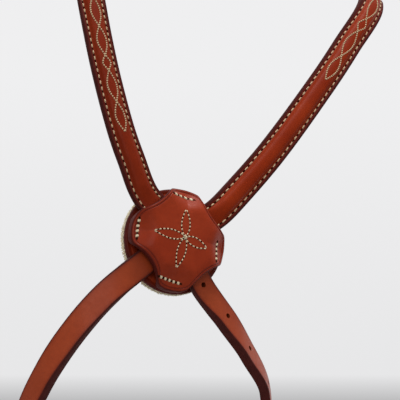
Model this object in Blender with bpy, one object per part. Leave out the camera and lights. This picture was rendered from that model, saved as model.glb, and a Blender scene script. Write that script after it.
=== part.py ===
"""Figure eight noseband, full size: two padded nose straps that cross in a sewn rosette, two cheek
rings, a headstall over the poll, a jaw strap and a chin strap, each with its own buckle.

Metres, +Z up. The horse would look along -Y. Near is +X (the horse's left, where every buckle sits),
off is -X. The origin is the middle of the crown strap's underside, where it lies on the poll.
"""
import math

import bmesh
import bpy
from mathutils import Vector

# Clearances
GAP = 0.0003                 # between pieces that touch
RUNNING = 0.0006             # round a ring or a bar that turns in its leather loop
SLIDE = 0.0005               # round a keeper that slides on its straps

# Where the main points of the noseband lie
RING_HALF_SPREAD = 0.118     # cheek ring centre from the middle plane
RING_DROP = 0.250            # cheek ring centres below the poll
CROSS_FORWARD = 0.100        # the crossing in front of the cheek rings
CROSS_DROP = 0.262           # the crossing below the cheek rings
CROSS_OFF = 0.018            # how far the rosette has slipped to the off side
CHIN_HALF_WIDTH = 0.098      # chin loop, half width
CHIN_DROP = 0.190            # chin loop's lowest line below the crossing
CHIN_SETBACK = 0.110         # chin loop's rearmost line behind the crossing

# Leather
NOSE_STRAP_WIDTH = 0.0181
CHIN_STRAP_WIDTH = 0.0156
NOSE_STRAP_THICK = 0.0045
CHIN_LOOP_THICK = 0.0062       # the same straps between the rosette and the chin buckle
THICKER_FROM = 0.035           # from the crossing to where they begin to thicken
THICKER_RUN = 0.020
THINNER_RUN = 0.036            # and back, before the straight with the chin buckle
HEAD_STRAP_WIDTH = 0.0159
HEAD_STRAP_THICK = 0.0034
SKIVED_THICK = 0.0020        # where a strap is pared down to turn round a ring or a bar
CORNER_ROUND = 0.0011        # rounded and burnished edges
MOST_ROUND_SHARE = 0.45      # a corner is rounded by no more than this much of a thin side
PAIR_GAP = 0.0003            # between the two layers of a turned end
TURN_TAIL = 0.026            # length of the turned-back end
TURN_CLOSE = 0.009           # where the two layers have closed up behind a ring or bar
LONGEST_STEP = 0.018         # between two sections along a strap
SHORTEST_STEP = 0.0015
MOST_BEND = 11.0             # degrees of bend between two sections
MOST_TWIST = 5.0             # degrees of twist between two sections

# Raised cover on the nose straps and the padding inside it
COVER_EDGE = 0.0013          # flat sewn edge of the raised cover
COVER_WALL = 0.0011          # leather over the padding
COVER_FLANGE = 0.0037        # width of the sewn edge
COVER_LEAST_HOLLOW = 0.00014 # under the cover where it has no padding
COVER_RISE = 0.0026          # crown of the padding above the sewn edge
COVER_FADE = 0.018           # length over which the padding runs out
COVER_START = 0.032          # from the ring's wire to the raised cover
COVER_TO_CROSSING = 0.0240   # from the crossing to the end of the raised cover

# Rosette
BASE_RADIUS = 0.0325
BASE_THICK = 0.0042
BASE_SHIFT = 0.0006          # the base's middle from the crossing, to the near side
FLEECE_INSET = 0.0004        # the pad's edge inside the base's edge
FLEECE_THICK = 0.0040
FLEECE_SHOULDER_SHARE = 0.90 # where the pad's edge begins to round off
FLEECE_FLAT_SHARE = 0.75     # flat middle of the pad's back
TOP_THICK = 0.0044           # the scalloped top's leather
TOP_DOME = 0.0010            # the top's leather is this much thicker in the middle
LOBE_RADIUS = 0.0310         # outer end of the top's four lobes
LOWER_LOBE_MORE = 0.0013     # the lowest lobe reaches this much further
LOBE_REST = 0.0004           # the lobes' underside above the base
SCALLOP_RADIUS = 0.0363      # the hollow curves between the lobes
SCALLOP_OVER_NEAR_UPPER = 0.0244  # least distance of each scallop from the centre
SCALLOP_OVER_OFF_UPPER = 0.0264
SCALLOP_OVER_OFF_LOWER = 0.0250
SCALLOP_OVER_NEAR_LOWER = 0.0258
CORNER_EASE_SHARE = 0.028    # how far the lobes' corners are rounded off
CROSSING_FLAT = 0.0100       # half length of the level stretch at the crossing
SHOULDER_RADIUS = 0.0190     # where the top begins to come down towards its rim, over a strap
LOBE_SHOULDER = 0.0115       # and in a lobe
STRAP_SIDE = 0.0108          # the top's underside stays up this far either side of a strap's line
LOBE_SIDE = 0.0172           # and from here on its lobes lie on the base
OUTER_STRAP_SIDE = 0.0065    # the same for its outer face, which is smoother
OUTER_LOBE_SIDE = 0.0200
LOBE_FALL = 0.0070           # how far the outer face comes down in a lobe
RIM_OVER_NEAR_UPPER = 0.0066 # height of the top's underside at its rim, over each strap
RIM_OVER_OFF_UPPER = 0.0106
RIM_OVER_OFF_LOWER = 0.0054
RIM_OVER_NEAR_LOWER = 0.0078

# Cheek rings
RING_MEAN_RADIUS = 0.0187
RING_WIRE_RADIUS = 0.0023

# Buckles and keepers
BAR_RADIUS = 0.0015
BUCKLE_REACH = 0.0190        # heel bar to front bar
BUCKLE_CORNER = 0.0030
BUCKLE_SIDE_ROOM = 0.0008    # beside the strap
TONGUE_WIDTH = 0.0022
TONGUE_THICK = 0.0016
TONGUE_HOLE = 0.0080         # heel bar to the hole in use
TONGUE_CLEAR = 0.0003
TONGUE_BEND = 0.0018         # the bend that takes the tongue up through the hole
HOLE_RADIUS = 0.0016
HOLE_PITCH = 0.0254
WORN_HOLE_LENGTH = 0.0065    # the hole in use is drawn out by the tongue
BILLET_RISE_RUN = 0.025      # length over which the billet climbs onto the buckle end
KEEPER_WIDTH = 0.0070
KEEPER_THICK = 0.0016
KEEPER_ROUND = 0.0014
FIXED_KEEPER_BACK = 0.0150   # heel bar to the fixed keeper's middle
RUNNER_BACK = 0.0420         # heel bar to the runner's middle
BILLET_PAST_BAR = 0.0660     # heel bar to the billet's tip
TIP_LENGTH_SHARE = 1.1       # length of the rounded tip, as a share of the half width
TIP_END_SHARE = 0.12         # what is left of the half width at the very end
TIP_MARK_SHARES = (0.95, 0.60, 0.30, 0.12, 0.03)

# Where the straps leave the cheek rings, in degrees from straight up, and how they lean in
CHEEK_LEAN = 9.5
NOSE_LEAVE = 30.0            # below straight forward
JAW_LEAVE = -12.0            # below straight back
JAW_LEAN = 13.0

# Headstall and jaw strap
CHEEK_STRAIGHT = 0.132
CHEEK_BUCKLE_AT = 0.046
CROWN_FLAT_HALF = 0.013
JAW_STRAIGHT = 0.098
JAW_BUCKLE_AT = 0.030
JAW_REACH = 0.222            # ring centre to the back of the jaw strap
CHIN_STRAIGHT = 0.108
CHIN_BUCKLE_AT = 0.0405

# Routes of the nose straps from the rosette's rim to the rings, as shares of the crossing-to-ring
# distances across, back and up, with the way the leather faces
NEAR_UPPER_SHARES = (
    ((0.173, -0.026, 0.084), (0.0, -1.0, 0.0)),
    ((0.246, -0.024, 0.134), (-0.05, -1.0, 0.0)),
    ((0.423, -0.010, 0.275), (-0.12, -1.0, 0.05)),
    ((0.656, 0.040, 0.489), (-0.15, -0.98, 0.10)),
    ((0.786, 0.090, 0.616), (-0.10, -0.97, 0.20)),
    ((0.934, 0.185, 0.767), (0.15, -0.90, 0.42)),
)
OFF_UPPER_SHARES = (
    ((0.247, -0.034, 0.083), (0.0, -1.0, 0.0)),
    ((0.374, -0.026, 0.161), (0.06, -1.0, 0.0)),
    ((0.465, -0.010, 0.228), (0.08, -1.0, 0.0)),
    ((0.586, 0.030, 0.344), (0.07, -1.0, 0.0)),
    ((0.670, 0.070, 0.441), (0.03, -1.0, 0.05)),
    ((0.741, 0.130, 0.544), (-0.12, -1.0, 0.15)),
    ((0.850, 0.300, 0.740), (-0.50, -0.80, 0.40)),
)
# Routes below the rosette, as shares of the chin loop's half width, setback and drop
OFF_LOWER_SHARES = (
    ((-0.232, -0.024, -0.121), (0.0, -1.0, 0.0)),
    ((-0.410, 0.009, -0.234), (-0.35, -0.93, 0.15)),
    ((-0.560, 0.073, -0.373), (-0.55, -0.80, 0.25)),
    ((-0.657, 0.164, -0.517), (-0.72, -0.62, 0.30)),
    ((-0.700, 0.330, -0.700), (-0.92, -0.25, 0.10)),
    ((-0.630, 0.620, -0.850), (-0.90, 0.15, -0.35)),
    ((-0.380, 0.960, -0.960), (-0.50, 0.60, -0.60)),
    ((0.020, 1.140, -1.000), (0.05, 0.75, -0.66)),
    ((0.400, 1.120, -0.985), (0.50, 0.65, -0.50)),
)
NEAR_LOWER_SHARES = (
    ((0.216, -0.034, -0.130), (0.06, -1.0, 0.04)),
    ((0.420, -0.009, -0.210), (0.30, -0.93, 0.25)),
    ((0.624, 0.027, -0.301), (0.52, -0.78, 0.40)),
    ((0.812, 0.082, -0.406), (0.72, -0.60, 0.42)),
)
CHIN_STRAIGHT_SHARES = (0.895, 0.205, -0.585)
CHIN_STRAIGHT_WAY = (-0.15, 0.80, -0.58)
CHIN_STRAIGHT_FACE = (0.97, 0.20, -0.10)

RIGHT = Vector((1.0, 0.0, 0.0))
BACK = Vector((0.0, 1.0, 0.0))
UP = Vector((0.0, 0.0, 1.0))
FRONT = -BACK

CHESTNUT = ("chestnut_leather", (0.27, 0.065, 0.022, 1.0), 0.42, 0.0)
RAISED = ("raised_leather", (0.33, 0.085, 0.030, 1.0), 0.38, 0.0)
ROSETTE = ("rosette_leather", (0.30, 0.075, 0.027, 1.0), 0.36, 0.0)
STEEL = ("polished_steel", (0.62, 0.61, 0.59, 1.0), 0.22, 1.0)
FLEECE = ("cream_fleece", (0.78, 0.72, 0.56, 1.0), 0.95, 0.0)
FELT = ("padding_felt", (0.55, 0.50, 0.42, 1.0), 0.95, 0.0)


def smooth(share):
    """A gentle step from 0 to 1."""
    x = min(1.0, max(0.0, share))
    return x * x * (3.0 - 2.0 * x)


def clear_scene():
    for thing in list(bpy.data.objects):
        bpy.data.objects.remove(thing, do_unlink=True)


def finish_material(finish):
    name, colour, roughness, metallic = finish
    made = bpy.data.materials.get(name)
    if made is None:
        made = bpy.data.materials.new(name)
        made.use_nodes = True
        shader = made.node_tree.nodes["Principled BSDF"]
        shader.inputs["Base Color"].default_value = colour
        shader.inputs["Roughness"].default_value = roughness
        shader.inputs["Metallic"].default_value = metallic
    return made


def own_material(name, finish):
    """Each piece has a material of its own, copied from its kind's finish."""
    made = finish_material(finish).copy()
    made.name = name + "_finish"
    return made


def add_object(name, shape, finish, pivot=None):
    """Turn a bmesh in world coordinates into a named object, its origin on its joint if it has one."""
    bmesh.ops.recalc_face_normals(shape, faces=shape.faces[:])
    if pivot is not None:
        bmesh.ops.translate(shape, verts=shape.verts[:], vec=-pivot)
    mesh = bpy.data.meshes.new(name)
    shape.to_mesh(mesh)
    shape.free()
    mesh.shade_smooth()
    mesh.set_sharp_from_angle(angle=math.radians(40.0))
    made = bpy.data.objects.new(name, mesh)
    if pivot is not None:
        made.location = pivot
    bpy.context.collection.objects.link(made)
    made.data.materials.append(own_material(name, finish))
    return made


def cut(target, cutter_shape):
    """Cut a bmesh shape out of an object with an exact Boolean."""
    bmesh.ops.recalc_face_normals(cutter_shape, faces=cutter_shape.faces[:])
    mesh = bpy.data.meshes.new(target.name + "_cutter")
    cutter_shape.to_mesh(mesh)
    cutter_shape.free()
    cutter = bpy.data.objects.new(target.name + "_cutter", mesh)
    cutter.hide_render = True
    cutter.display_type = "WIRE"
    bpy.context.collection.objects.link(cutter)
    step = target.modifiers.new("cut", "BOOLEAN")
    step.operation = "DIFFERENCE"
    step.solver = "EXACT"
    step.object = cutter


# Curves

class Route:
    """A smooth line through knots, each with a place, an optional direction and a facing."""

    STEPS = 24

    def __init__(self, knots):
        places = [Vector(k[0]) for k in knots]
        last = len(places) - 1
        ways = []
        for i, knot in enumerate(knots):
            if knot[1] is not None:
                ways.append(Vector(knot[1]).normalized())
            else:
                ways.append((places[min(i + 1, last)] - places[max(i - 1, 0)]).normalized())
        faces = [Vector(k[2]).normalized() for k in knots]
        self.points = [places[0]]
        self.faces = [faces[0]]
        self.knot_index = [0]
        for i in range(last):
            chord = (places[i + 1] - places[i]).length
            for j in range(1, self.STEPS + 1):
                x = j / self.STEPS
                self.points.append(hermite(places[i], ways[i] * chord, places[i + 1], ways[i + 1] * chord, x))
                self.faces.append(faces[i].lerp(faces[i + 1], smooth(x)).normalized())
            self.knot_index.append(len(self.points) - 1)
        self.lengths = [0.0]
        for a, b in zip(self.points, self.points[1:]):
            self.lengths.append(self.lengths[-1] + (b - a).length)
        self.length = self.lengths[-1]

    def knot_length(self, index):
        return self.lengths[self.knot_index[index]]

    def at(self, s):
        """Place, direction, outward normal and width direction at a length along the line."""
        s = min(self.length, max(0.0, s))
        low = 0
        high = len(self.lengths) - 1
        while high - low > 1:
            middle = (low + high) // 2
            if self.lengths[middle] <= s:
                low = middle
            else:
                high = middle
        span = self.lengths[high] - self.lengths[low]
        x = (s - self.lengths[low]) / span
        place = self.points[low].lerp(self.points[high], x)
        face = self.faces[low].lerp(self.faces[high], x)
        along_low = self.tangent(low)
        along = along_low.lerp(self.tangent(high), x).normalized()
        normal = (face - along * face.dot(along)).normalized()
        return place, along, normal, along.cross(normal)

    def marks(self, start, end, extra=()):
        """Lengths for the sections from one end to the other, closer where the strap bends or twists."""
        low = min(start, end)
        high = max(start, end)
        found = [low]
        last = self.at(low)
        count = int((high - low) / SHORTEST_STEP)
        for i in range(1, count):
            s = low + (high - low) * i / count
            here = self.at(s)
            bend = math.degrees(last[1].angle(here[1]))
            twist = math.degrees(last[3].angle(here[3]))
            if s - found[-1] > LONGEST_STEP or bend > MOST_BEND or twist > MOST_TWIST:
                found.append(s)
                last = here
        wanted = list(extra) + [low, high]
        kept = [s for s in found if min(abs(s - w) for w in wanted) > SHORTEST_STEP / 2]
        return sorted(set(kept) | set(wanted), reverse=end < start)

    def tangent(self, index):
        before = max(0, index - 1)
        after = min(len(self.points) - 1, index + 1)
        return (self.points[after] - self.points[before]).normalized()


def hermite(p0, m0, p1, m1, x):
    xx = x * x
    xxx = xx * x
    return (p0 * (2 * xxx - 3 * xx + 1) + m0 * (xxx - 2 * xx + x)
            + p1 * (3 * xx - 2 * xxx) + m1 * (xxx - xx))


# Swept shapes

def rounded_section(half_width, thick, edge=CORNER_ROUND):
    """Eight corners of a strap's section, width first, thickness second."""
    r = min(edge, half_width * MOST_ROUND_SHARE, thick * MOST_ROUND_SHARE)
    w = half_width
    h = thick / 2
    return [(-w, -h + r), (-w, h - r), (-w + r, h), (w - r, h),
            (w, h - r), (w, -h + r), (w - r, -h), (-w + r, -h)]


def sweep(frames, sections, closed=False):
    """Skin matching sections along frames of (place, normal, width direction)."""
    shape = bmesh.new()
    rings = []
    last_width = None
    for (place, normal, across), section in zip(frames, sections):
        if last_width is not None and across.dot(last_width) < 0:
            across = -across
        last_width = across
        rings.append([shape.verts.new(place + across * a + normal * b) for a, b in section])
    count = len(rings[0])
    pairs = list(zip(rings, rings[1:]))
    if closed:
        pairs.append((rings[-1], rings[0]))
    for one, two in pairs:
        for i in range(count):
            j = (i + 1) % count
            shape.faces.new((one[i], one[j], two[j], two[i]))
    if not closed:
        shape.faces.new(list(reversed(rings[0])))
        shape.faces.new(rings[-1])
    return shape


class Strap:
    """Collects the stations of one strap: place, normal, width direction, half width, thickness."""

    def __init__(self):
        self.stations = []

    def run(self, route, start, end, half_width, thick, offset=None, extra=()):
        """Follow a route from one length to another, either way along it."""
        for s in route.marks(start, end, extra):
            place, along, normal, across = route.at(s)
            lift = offset(s) if offset else 0.0
            self.stations.append((place + normal * lift, normal, across, half_width(s), thick(s)))

    def turn(self, middle, away, normal, bar, sag, half_width, thick, start_here):
        """Turn the end round a bar or ring wire, the pared end lying along the strap's back."""
        across = away.cross(normal)
        path = turned_end_path(bar, sag, thick)
        made = []
        for i, (u, h, t) in enumerate(path):
            before = path[max(0, i - 1)]
            after = path[min(len(path) - 1, i + 1)]
            du = after[0] - before[0]
            dh = after[1] - before[1]
            size = math.hypot(du, dh)
            face = (normal * du - away * dh) / size
            made.append((middle + away * u + normal * h, face, across, half_width, t))
        if start_here:
            self.stations.extend(made)
        else:
            self.stations.extend(reversed(made))

    def build(self, name, finish):
        frames = [(s[0], s[1], s[2]) for s in self.stations]
        sections = [rounded_section(s[3], s[4]) for s in self.stations]
        return add_object(name, sweep(frames, sections), finish)


def turned_end_path(bar, sag, thick):
    """Tail, bight and main layer round a bar: along the strap, off its middle, thickness."""
    pocket = bar + RUNNING + SKIVED_THICK / 2
    near = PAIR_GAP / 2 + SKIVED_THICK / 2
    path = [(TURN_TAIL, -near, SKIVED_THICK)]
    close_shares = (1.0, 0.66, 0.33, 0.0)
    for x in close_shares:
        path.append((TURN_CLOSE * x, -near - (pocket - near) * smooth(1 - x), SKIVED_THICK))
    turns = 8
    for i in range(turns + 1):
        angle = -math.pi / 2 - math.pi * i / turns
        path.append((-sag + pocket * math.cos(angle), pocket * math.sin(angle), SKIVED_THICK))
    for x in reversed(close_shares):
        path.append((TURN_CLOSE * x, near + (pocket - near) * smooth(1 - x), SKIVED_THICK))
    full = TURN_TAIL - TURN_CLOSE
    for x in (0.5, 1.0):
        t = SKIVED_THICK + (thick - SKIVED_THICK) * smooth(x)
        path.append((TURN_CLOSE + full * x, PAIR_GAP / 2 + t / 2, t))
    return [p for i, p in enumerate(path) if i == 0 or math.dist(p[:2], path[i - 1][:2]) > PAIR_GAP]


def ring_sag(half_width):
    """How far the ring's wire falls away at the edge of a strap that hangs on it."""
    return RING_MEAN_RADIUS - math.sqrt(RING_MEAN_RADIUS ** 2 - half_width ** 2)


# Rings

def ring_centre(side):
    return Vector((side * RING_HALF_SPREAD, 0.0, -RING_DROP))


def torus(centre, axis_a, axis_b, mean_radius, wire_radius, around=30, sides=8):
    axis = axis_a.cross(axis_b)
    frames = []
    for i in range(around):
        angle = 2 * math.pi * i / around
        out = axis_a * math.cos(angle) + axis_b * math.sin(angle)
        frames.append((centre + out * mean_radius, out, axis))
    section = [(wire_radius * math.cos(2 * math.pi * j / sides), wire_radius * math.sin(2 * math.pi * j / sides))
               for j in range(sides)]
    return sweep(frames, [section] * around, closed=True)


def cheek_ring(name, side):
    centre = ring_centre(side)
    add_object(name, torus(centre, BACK, UP, RING_MEAN_RADIUS, RING_WIRE_RADIUS), STEEL, pivot=centre)


def ring_hold(side, out, lean):
    """Where a strap takes hold of a ring: wire point, the way the strap leaves and the way it faces."""
    tilt = math.radians(lean)
    outward = RIGHT * side
    away = out * math.cos(tilt) - outward * math.sin(tilt)
    normal = outward * math.cos(tilt) + out * math.sin(tilt)
    return ring_centre(side) + out * RING_MEAN_RADIUS, away, normal


def strap_middle_at(hold, reach, thick):
    """Middle of the strap's main layer at a distance from the bar or wire it turns round."""
    middle, away, normal = hold
    return middle + away * reach + normal * (PAIR_GAP / 2 + thick / 2)


# Buckled joins

class Buckle:
    """A buckle on a straight stretch: the billet comes from the start, the buckle strap from the end."""

    def __init__(self, name, start, way, face, bar_at, half_width, thick):
        self.name = name
        self.half_width = half_width
        self.thick = thick
        self.way = way
        self.normal = (face - way * face.dot(way)).normalized()
        self.centre_line = start + way * bar_at
        self.bar = self.centre_line - self.normal * (PAIR_GAP / 2 + thick / 2)
        self.front = -way
        self.across = self.front.cross(self.normal)
        fold_top = BAR_RADIUS + RUNNING + SKIVED_THICK
        strap_top = PAIR_GAP / 2 + thick
        self.rise = max(fold_top, strap_top) + GAP - PAIR_GAP / 2
        self.strap_middle = PAIR_GAP / 2 + thick / 2

    def billet_lift(self, past_bar):
        """How far the billet lies outside the straight line, by its distance past the heel bar."""
        return self.rise * smooth((past_bar + BILLET_RISE_RUN) / BILLET_RISE_RUN)

    def billet_height(self, front):
        """Billet's middle above the heel bar's middle, at a distance in front of the bar."""
        return self.strap_middle + self.billet_lift(-front)

    def place(self, front, height, across=0.0):
        return self.bar + self.front * front + self.normal * height + self.across * across

    def front_bar_height(self):
        return self.billet_height(BUCKLE_REACH) + self.thick / 2 + GAP + GAP + BAR_RADIUS

    def build_frame(self):
        half = self.half_width + BUCKLE_SIDE_ROOM + BAR_RADIUS
        outline = rounded_rectangle(0.0, BUCKLE_REACH, -half, half, BUCKLE_CORNER, 4)
        frames = []
        count = len(outline)
        for i, (x, y) in enumerate(outline):
            before = outline[i - 1]
            after = outline[(i + 1) % count]
            along = (self.place(after[0], self.frame_height(after[0]), after[1])
                     - self.place(before[0], self.frame_height(before[0]), before[1])).normalized()
            normal = (self.normal - along * self.normal.dot(along)).normalized()
            frames.append((self.place(x, self.frame_height(x), y), normal, along.cross(normal)))
        sides = 8
        section = [(BAR_RADIUS * math.cos(2 * math.pi * (j + 0.5) / sides),
                    BAR_RADIUS * math.sin(2 * math.pi * (j + 0.5) / sides)) for j in range(sides)]
        add_object(self.name + "_buckle_frame", sweep(frames, [section] * count, closed=True), STEEL)

    def frame_height(self, front):
        return self.front_bar_height() * smooth(front / BUCKLE_REACH)

    def build_tongue(self):
        """A flat wire bent round the heel bar, up through the billet's hole and onto the front bar."""
        radius = BAR_RADIUS + TONGUE_CLEAR + TONGUE_THICK / 2
        rest = self.front_bar_height() + BAR_RADIUS + TONGUE_CLEAR + TONGUE_THICK / 2
        path = []
        turns = 9
        for i in range(turns + 1):
            angle = -math.pi / 2 - math.pi * i / turns
            path.append((radius * math.cos(angle), radius * math.sin(angle)))
        foot = TONGUE_HOLE - TONGUE_BEND
        for x in (0.5, 1.0):
            angle = -math.pi / 2 + x * math.pi / 3
            path.append((foot + TONGUE_BEND * math.cos(angle), radius + TONGUE_BEND * (1 + math.sin(angle))))
        path.append((TONGUE_HOLE, radius + TONGUE_BEND))
        top = rest - TONGUE_BEND
        path.append((TONGUE_HOLE, top))
        for x in (0.5, 1.0):
            angle = math.pi - x * math.pi / 2
            path.append((TONGUE_HOLE + TONGUE_BEND * (1 + math.cos(angle)), top + TONGUE_BEND * math.sin(angle)))
        path.append((BUCKLE_REACH, rest))
        path.append((BUCKLE_REACH + BAR_RADIUS + TONGUE_THICK, rest - TONGUE_THICK / 4))
        frames = []
        for i, (x, h) in enumerate(path):
            before = path[max(0, i - 1)]
            after = path[min(len(path) - 1, i + 1)]
            size = math.dist(before, after)
            normal = (self.normal * (after[0] - before[0]) - self.front * (after[1] - before[1])) / size
            frames.append((self.place(x, h), normal, self.across))
        section = rounded_section(TONGUE_WIDTH / 2, TONGUE_THICK, TONGUE_THICK / 4)
        add_object(self.name + "_buckle_tongue", sweep(frames, [section] * len(frames)), STEEL, pivot=self.bar)

    def tongue_slot(self):
        """The slot in the turned end that leaves the tongue free, as a cutter."""
        reach = BAR_RADIUS + RUNNING + SKIVED_THICK + TONGUE_THICK
        half = TONGUE_WIDTH / 2 + SLIDE
        return box_shape(self, -reach, reach, half, -reach, reach)

    def build_keeper(self, name, back, low, pivot=None):
        high = self.billet_height(-back) + self.thick / 2 + SLIDE
        half = self.half_width + SLIDE
        inner = rounded_rectangle(-half, half, low - SLIDE, high, KEEPER_ROUND / 2, 2)
        outer = rounded_rectangle(-half - KEEPER_THICK, half + KEEPER_THICK,
                                  low - SLIDE - KEEPER_THICK, high + KEEPER_THICK, KEEPER_ROUND, 2)
        shape = bmesh.new()
        rings = []
        for outline, edge in ((outer, -1), (outer, 1), (inner, 1), (inner, -1)):
            front = -back + edge * KEEPER_WIDTH / 2
            rings.append([shape.verts.new(self.place(front, h, a)) for a, h in outline])
        count = len(outer)
        for one, two in zip(rings, rings[1:] + rings[:1]):
            for i in range(count):
                j = (i + 1) % count
                shape.faces.new((one[i], one[j], two[j], two[i]))
        middle = None if pivot is None else self.place(-back, self.strap_middle)
        add_object(name, shape, CHESTNUT, pivot=middle)

    def build_hardware(self):
        self.build_frame()
        self.build_tongue()
        tail_low = -PAIR_GAP / 2 - SKIVED_THICK
        self.build_keeper(self.name + "_fixed_keeper", FIXED_KEEPER_BACK, tail_low)
        self.build_keeper(self.name + "_runner_keeper", RUNNER_BACK, PAIR_GAP / 2, pivot=True)


def rounded_rectangle(x0, x1, y0, y1, radius, corner_steps):
    """Corner arcs of a rounded rectangle, anticlockwise."""
    outline = []
    corners = ((x1 - radius, y0 + radius, -0.5), (x1 - radius, y1 - radius, 0.0),
               (x0 + radius, y1 - radius, 0.5), (x0 + radius, y0 + radius, 1.0))
    for cx, cy, start in corners:
        for i in range(corner_steps + 1):
            angle = math.pi * (start + 0.5 * i / corner_steps)
            outline.append((cx + radius * math.cos(angle), cy + radius * math.sin(angle)))
    return outline


def box_shape(buckle, front0, front1, half, low, high):
    shape = bmesh.new()
    corners = [(x, a, h) for x in (front0, front1) for a in (-half, half) for h in (low, high)]
    v = [shape.verts.new(buckle.place(x, h, a)) for x, a, h in corners]
    for face in ((0, 1, 3, 2), (4, 6, 7, 5), (0, 4, 5, 1), (2, 3, 7, 6), (0, 2, 6, 4), (1, 5, 7, 3)):
        shape.faces.new([v[i] for i in face])
    return shape


def add_hole(shape, place, along, normal, across, length, depth):
    """Add a round or slotted punch to a cutter shape; length is the slot's, along the strap."""
    steps = 5
    straight = max(0.0, length - 2 * HOLE_RADIUS) / 2
    outline = []
    for i in range(steps + 1):
        angle = -math.pi / 2 + math.pi * i / steps
        outline.append((straight + HOLE_RADIUS * math.cos(angle), HOLE_RADIUS * math.sin(angle)))
    for i in range(steps + 1):
        angle = math.pi / 2 + math.pi * i / steps
        outline.append((-straight + HOLE_RADIUS * math.cos(angle), HOLE_RADIUS * math.sin(angle)))
    if straight == 0.0:
        outline = outline[:steps] + outline[steps + 1:-1]
    rings = []
    for side in (-1, 1):
        rings.append([shape.verts.new(place + along * a + across * b + normal * (side * depth))
                      for a, b in outline])
    count = len(outline)
    for i in range(count):
        j = (i + 1) % count
        shape.faces.new((rings[0][i], rings[0][j], rings[1][j], rings[1][i]))
    shape.faces.new(list(reversed(rings[0])))
    shape.faces.new(rings[1])


def punch_billet(target, route, buckle, bar_length, first, tip):
    """Punch the billet's row of holes, the one in use drawn out, at one pitch from the buckle's hole."""
    used = bar_length - TONGUE_HOLE
    shape = bmesh.new()
    index_low = -math.floor((used - first) / HOLE_PITCH)
    index_high = math.floor((tip - used) / HOLE_PITCH)
    for index in range(index_low, index_high + 1):
        s = used + index * HOLE_PITCH
        place, along, normal, across = route.at(s)
        lift = buckle.billet_lift(s - bar_length)
        place = place + normal * lift
        if index == 0:
            add_hole(shape, place, along, normal, across, WORN_HOLE_LENGTH, buckle.thick)
        else:
            add_hole(shape, place, along, normal, across, 2 * HOLE_RADIUS, buckle.thick)
    cut(target, shape)


def billet_tip_width(half_width, tip):
    """Half width that runs out in a rounded point at the billet's tip."""
    point = half_width * TIP_LENGTH_SHARE

    def width(s):
        x = max(0.0, (s - (tip - point)) / point)
        return half_width * max(TIP_END_SHARE, math.sqrt(max(0.0, 1 - x * x)))
    return width


def tip_marks(half_width, tip):
    point = half_width * TIP_LENGTH_SHARE
    return [tip - point * share for share in TIP_MARK_SHARES]


def rise_marks(bar_length):
    """Sections through the stretch where the billet climbs onto the buckle end."""
    steps = 5
    return [bar_length - BILLET_RISE_RUN * i / steps for i in range(steps + 1)]


def constant(value):
    return lambda s: value


# Headstall and jaw strap

def buckled_strap(name, holds, straight, bar_at, far_knots, near_name, far_name):
    """A strap from ring to ring in two pieces: a punched near billet and a long piece with the buckle."""
    near_hold, off_hold = holds
    half = HEAD_STRAP_WIDTH / 2
    thick = HEAD_STRAP_THICK
    start = strap_middle_at(near_hold, TURN_TAIL, thick)
    away = near_hold[1]
    face = near_hold[2]
    end = start + away * straight
    far = strap_middle_at(off_hold, TURN_TAIL, thick)
    knots = [(start, away, face), (end, away, face)]
    knots.extend(far_knots)
    knots.append((far, -off_hold[1], off_hold[2]))
    route = Route(knots)
    buckle = Buckle(name, start, away, face, bar_at, half, thick)
    billet_end = bar_at + BILLET_PAST_BAR
    billet = Strap()
    billet.turn(near_hold[0], away, face, RING_WIRE_RADIUS, ring_sag(half), half, thick, True)
    billet.stations.pop()
    billet.run(route, 0.0, billet_end, billet_tip_width(half, billet_end), constant(thick),
               offset=lambda s: buckle.billet_lift(s - bar_at),
               extra=tip_marks(half, billet_end) + rise_marks(bar_at))
    near_piece = billet.build(near_name, CHESTNUT)
    punch_billet(near_piece, route, buckle, bar_at, HOLE_PITCH / 4, billet_end - HOLE_PITCH / 2)
    long_piece = Strap()
    long_piece.turn(buckle.bar, away, buckle.normal, BAR_RADIUS, 0.0, half, thick, True)
    long_piece.stations.pop()
    long_piece.run(route, bar_at + TURN_TAIL, route.length, constant(half), constant(thick))
    long_piece.stations.pop()
    long_piece.turn(off_hold[0], off_hold[1], off_hold[2], RING_WIRE_RADIUS, ring_sag(half), half, thick, False)
    far_piece = long_piece.build(far_name, CHESTNUT)
    cut(far_piece, buckle.tongue_slot())
    buckle.build_hardware()


def headstall():
    holds = [ring_hold(side, UP, CHEEK_LEAN) for side in (1, -1)]
    top = HEAD_STRAP_THICK / 2
    far_knots = [(Vector((CROWN_FLAT_HALF, 0.0, top)), -RIGHT, UP),
                 (Vector((-CROWN_FLAT_HALF, 0.0, top)), -RIGHT, UP)]
    off_start = strap_middle_at(holds[1], TURN_TAIL, HEAD_STRAP_THICK)
    off_end = off_start + holds[1][1] * CHEEK_STRAIGHT
    far_knots.append((off_end, -holds[1][1], holds[1][2]))
    buckled_strap("headstall", holds, CHEEK_STRAIGHT, CHEEK_BUCKLE_AT, far_knots,
                  "near_cheek_billet", "crown_strap")


def jaw_strap():
    dip = math.radians(JAW_LEAVE)
    out = BACK * math.cos(dip) - UP * math.sin(dip)
    holds = [ring_hold(side, out, JAW_LEAN) for side in (1, -1)]
    rear = Vector((0.0, 0.0, -RING_DROP)) + out * JAW_REACH
    off_start = strap_middle_at(holds[1], TURN_TAIL, HEAD_STRAP_THICK)
    off_end = off_start + holds[1][1] * JAW_STRAIGHT
    far_knots = [(rear, -RIGHT, out), (off_end, -holds[1][1], holds[1][2])]
    buckled_strap("jaw", holds, JAW_STRAIGHT, JAW_BUCKLE_AT, far_knots,
                  "near_jaw_billet", "jaw_strap")


# Nose straps and chin loop

def crossing_point():
    return Vector((-CROSS_OFF, -CROSS_FORWARD, -RING_DROP - CROSS_DROP))


def lower_strap_depth():
    """Middle of the strap that lies on the rosette's base, forward of the base."""
    return GAP + NOSE_STRAP_THICK / 2


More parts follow.
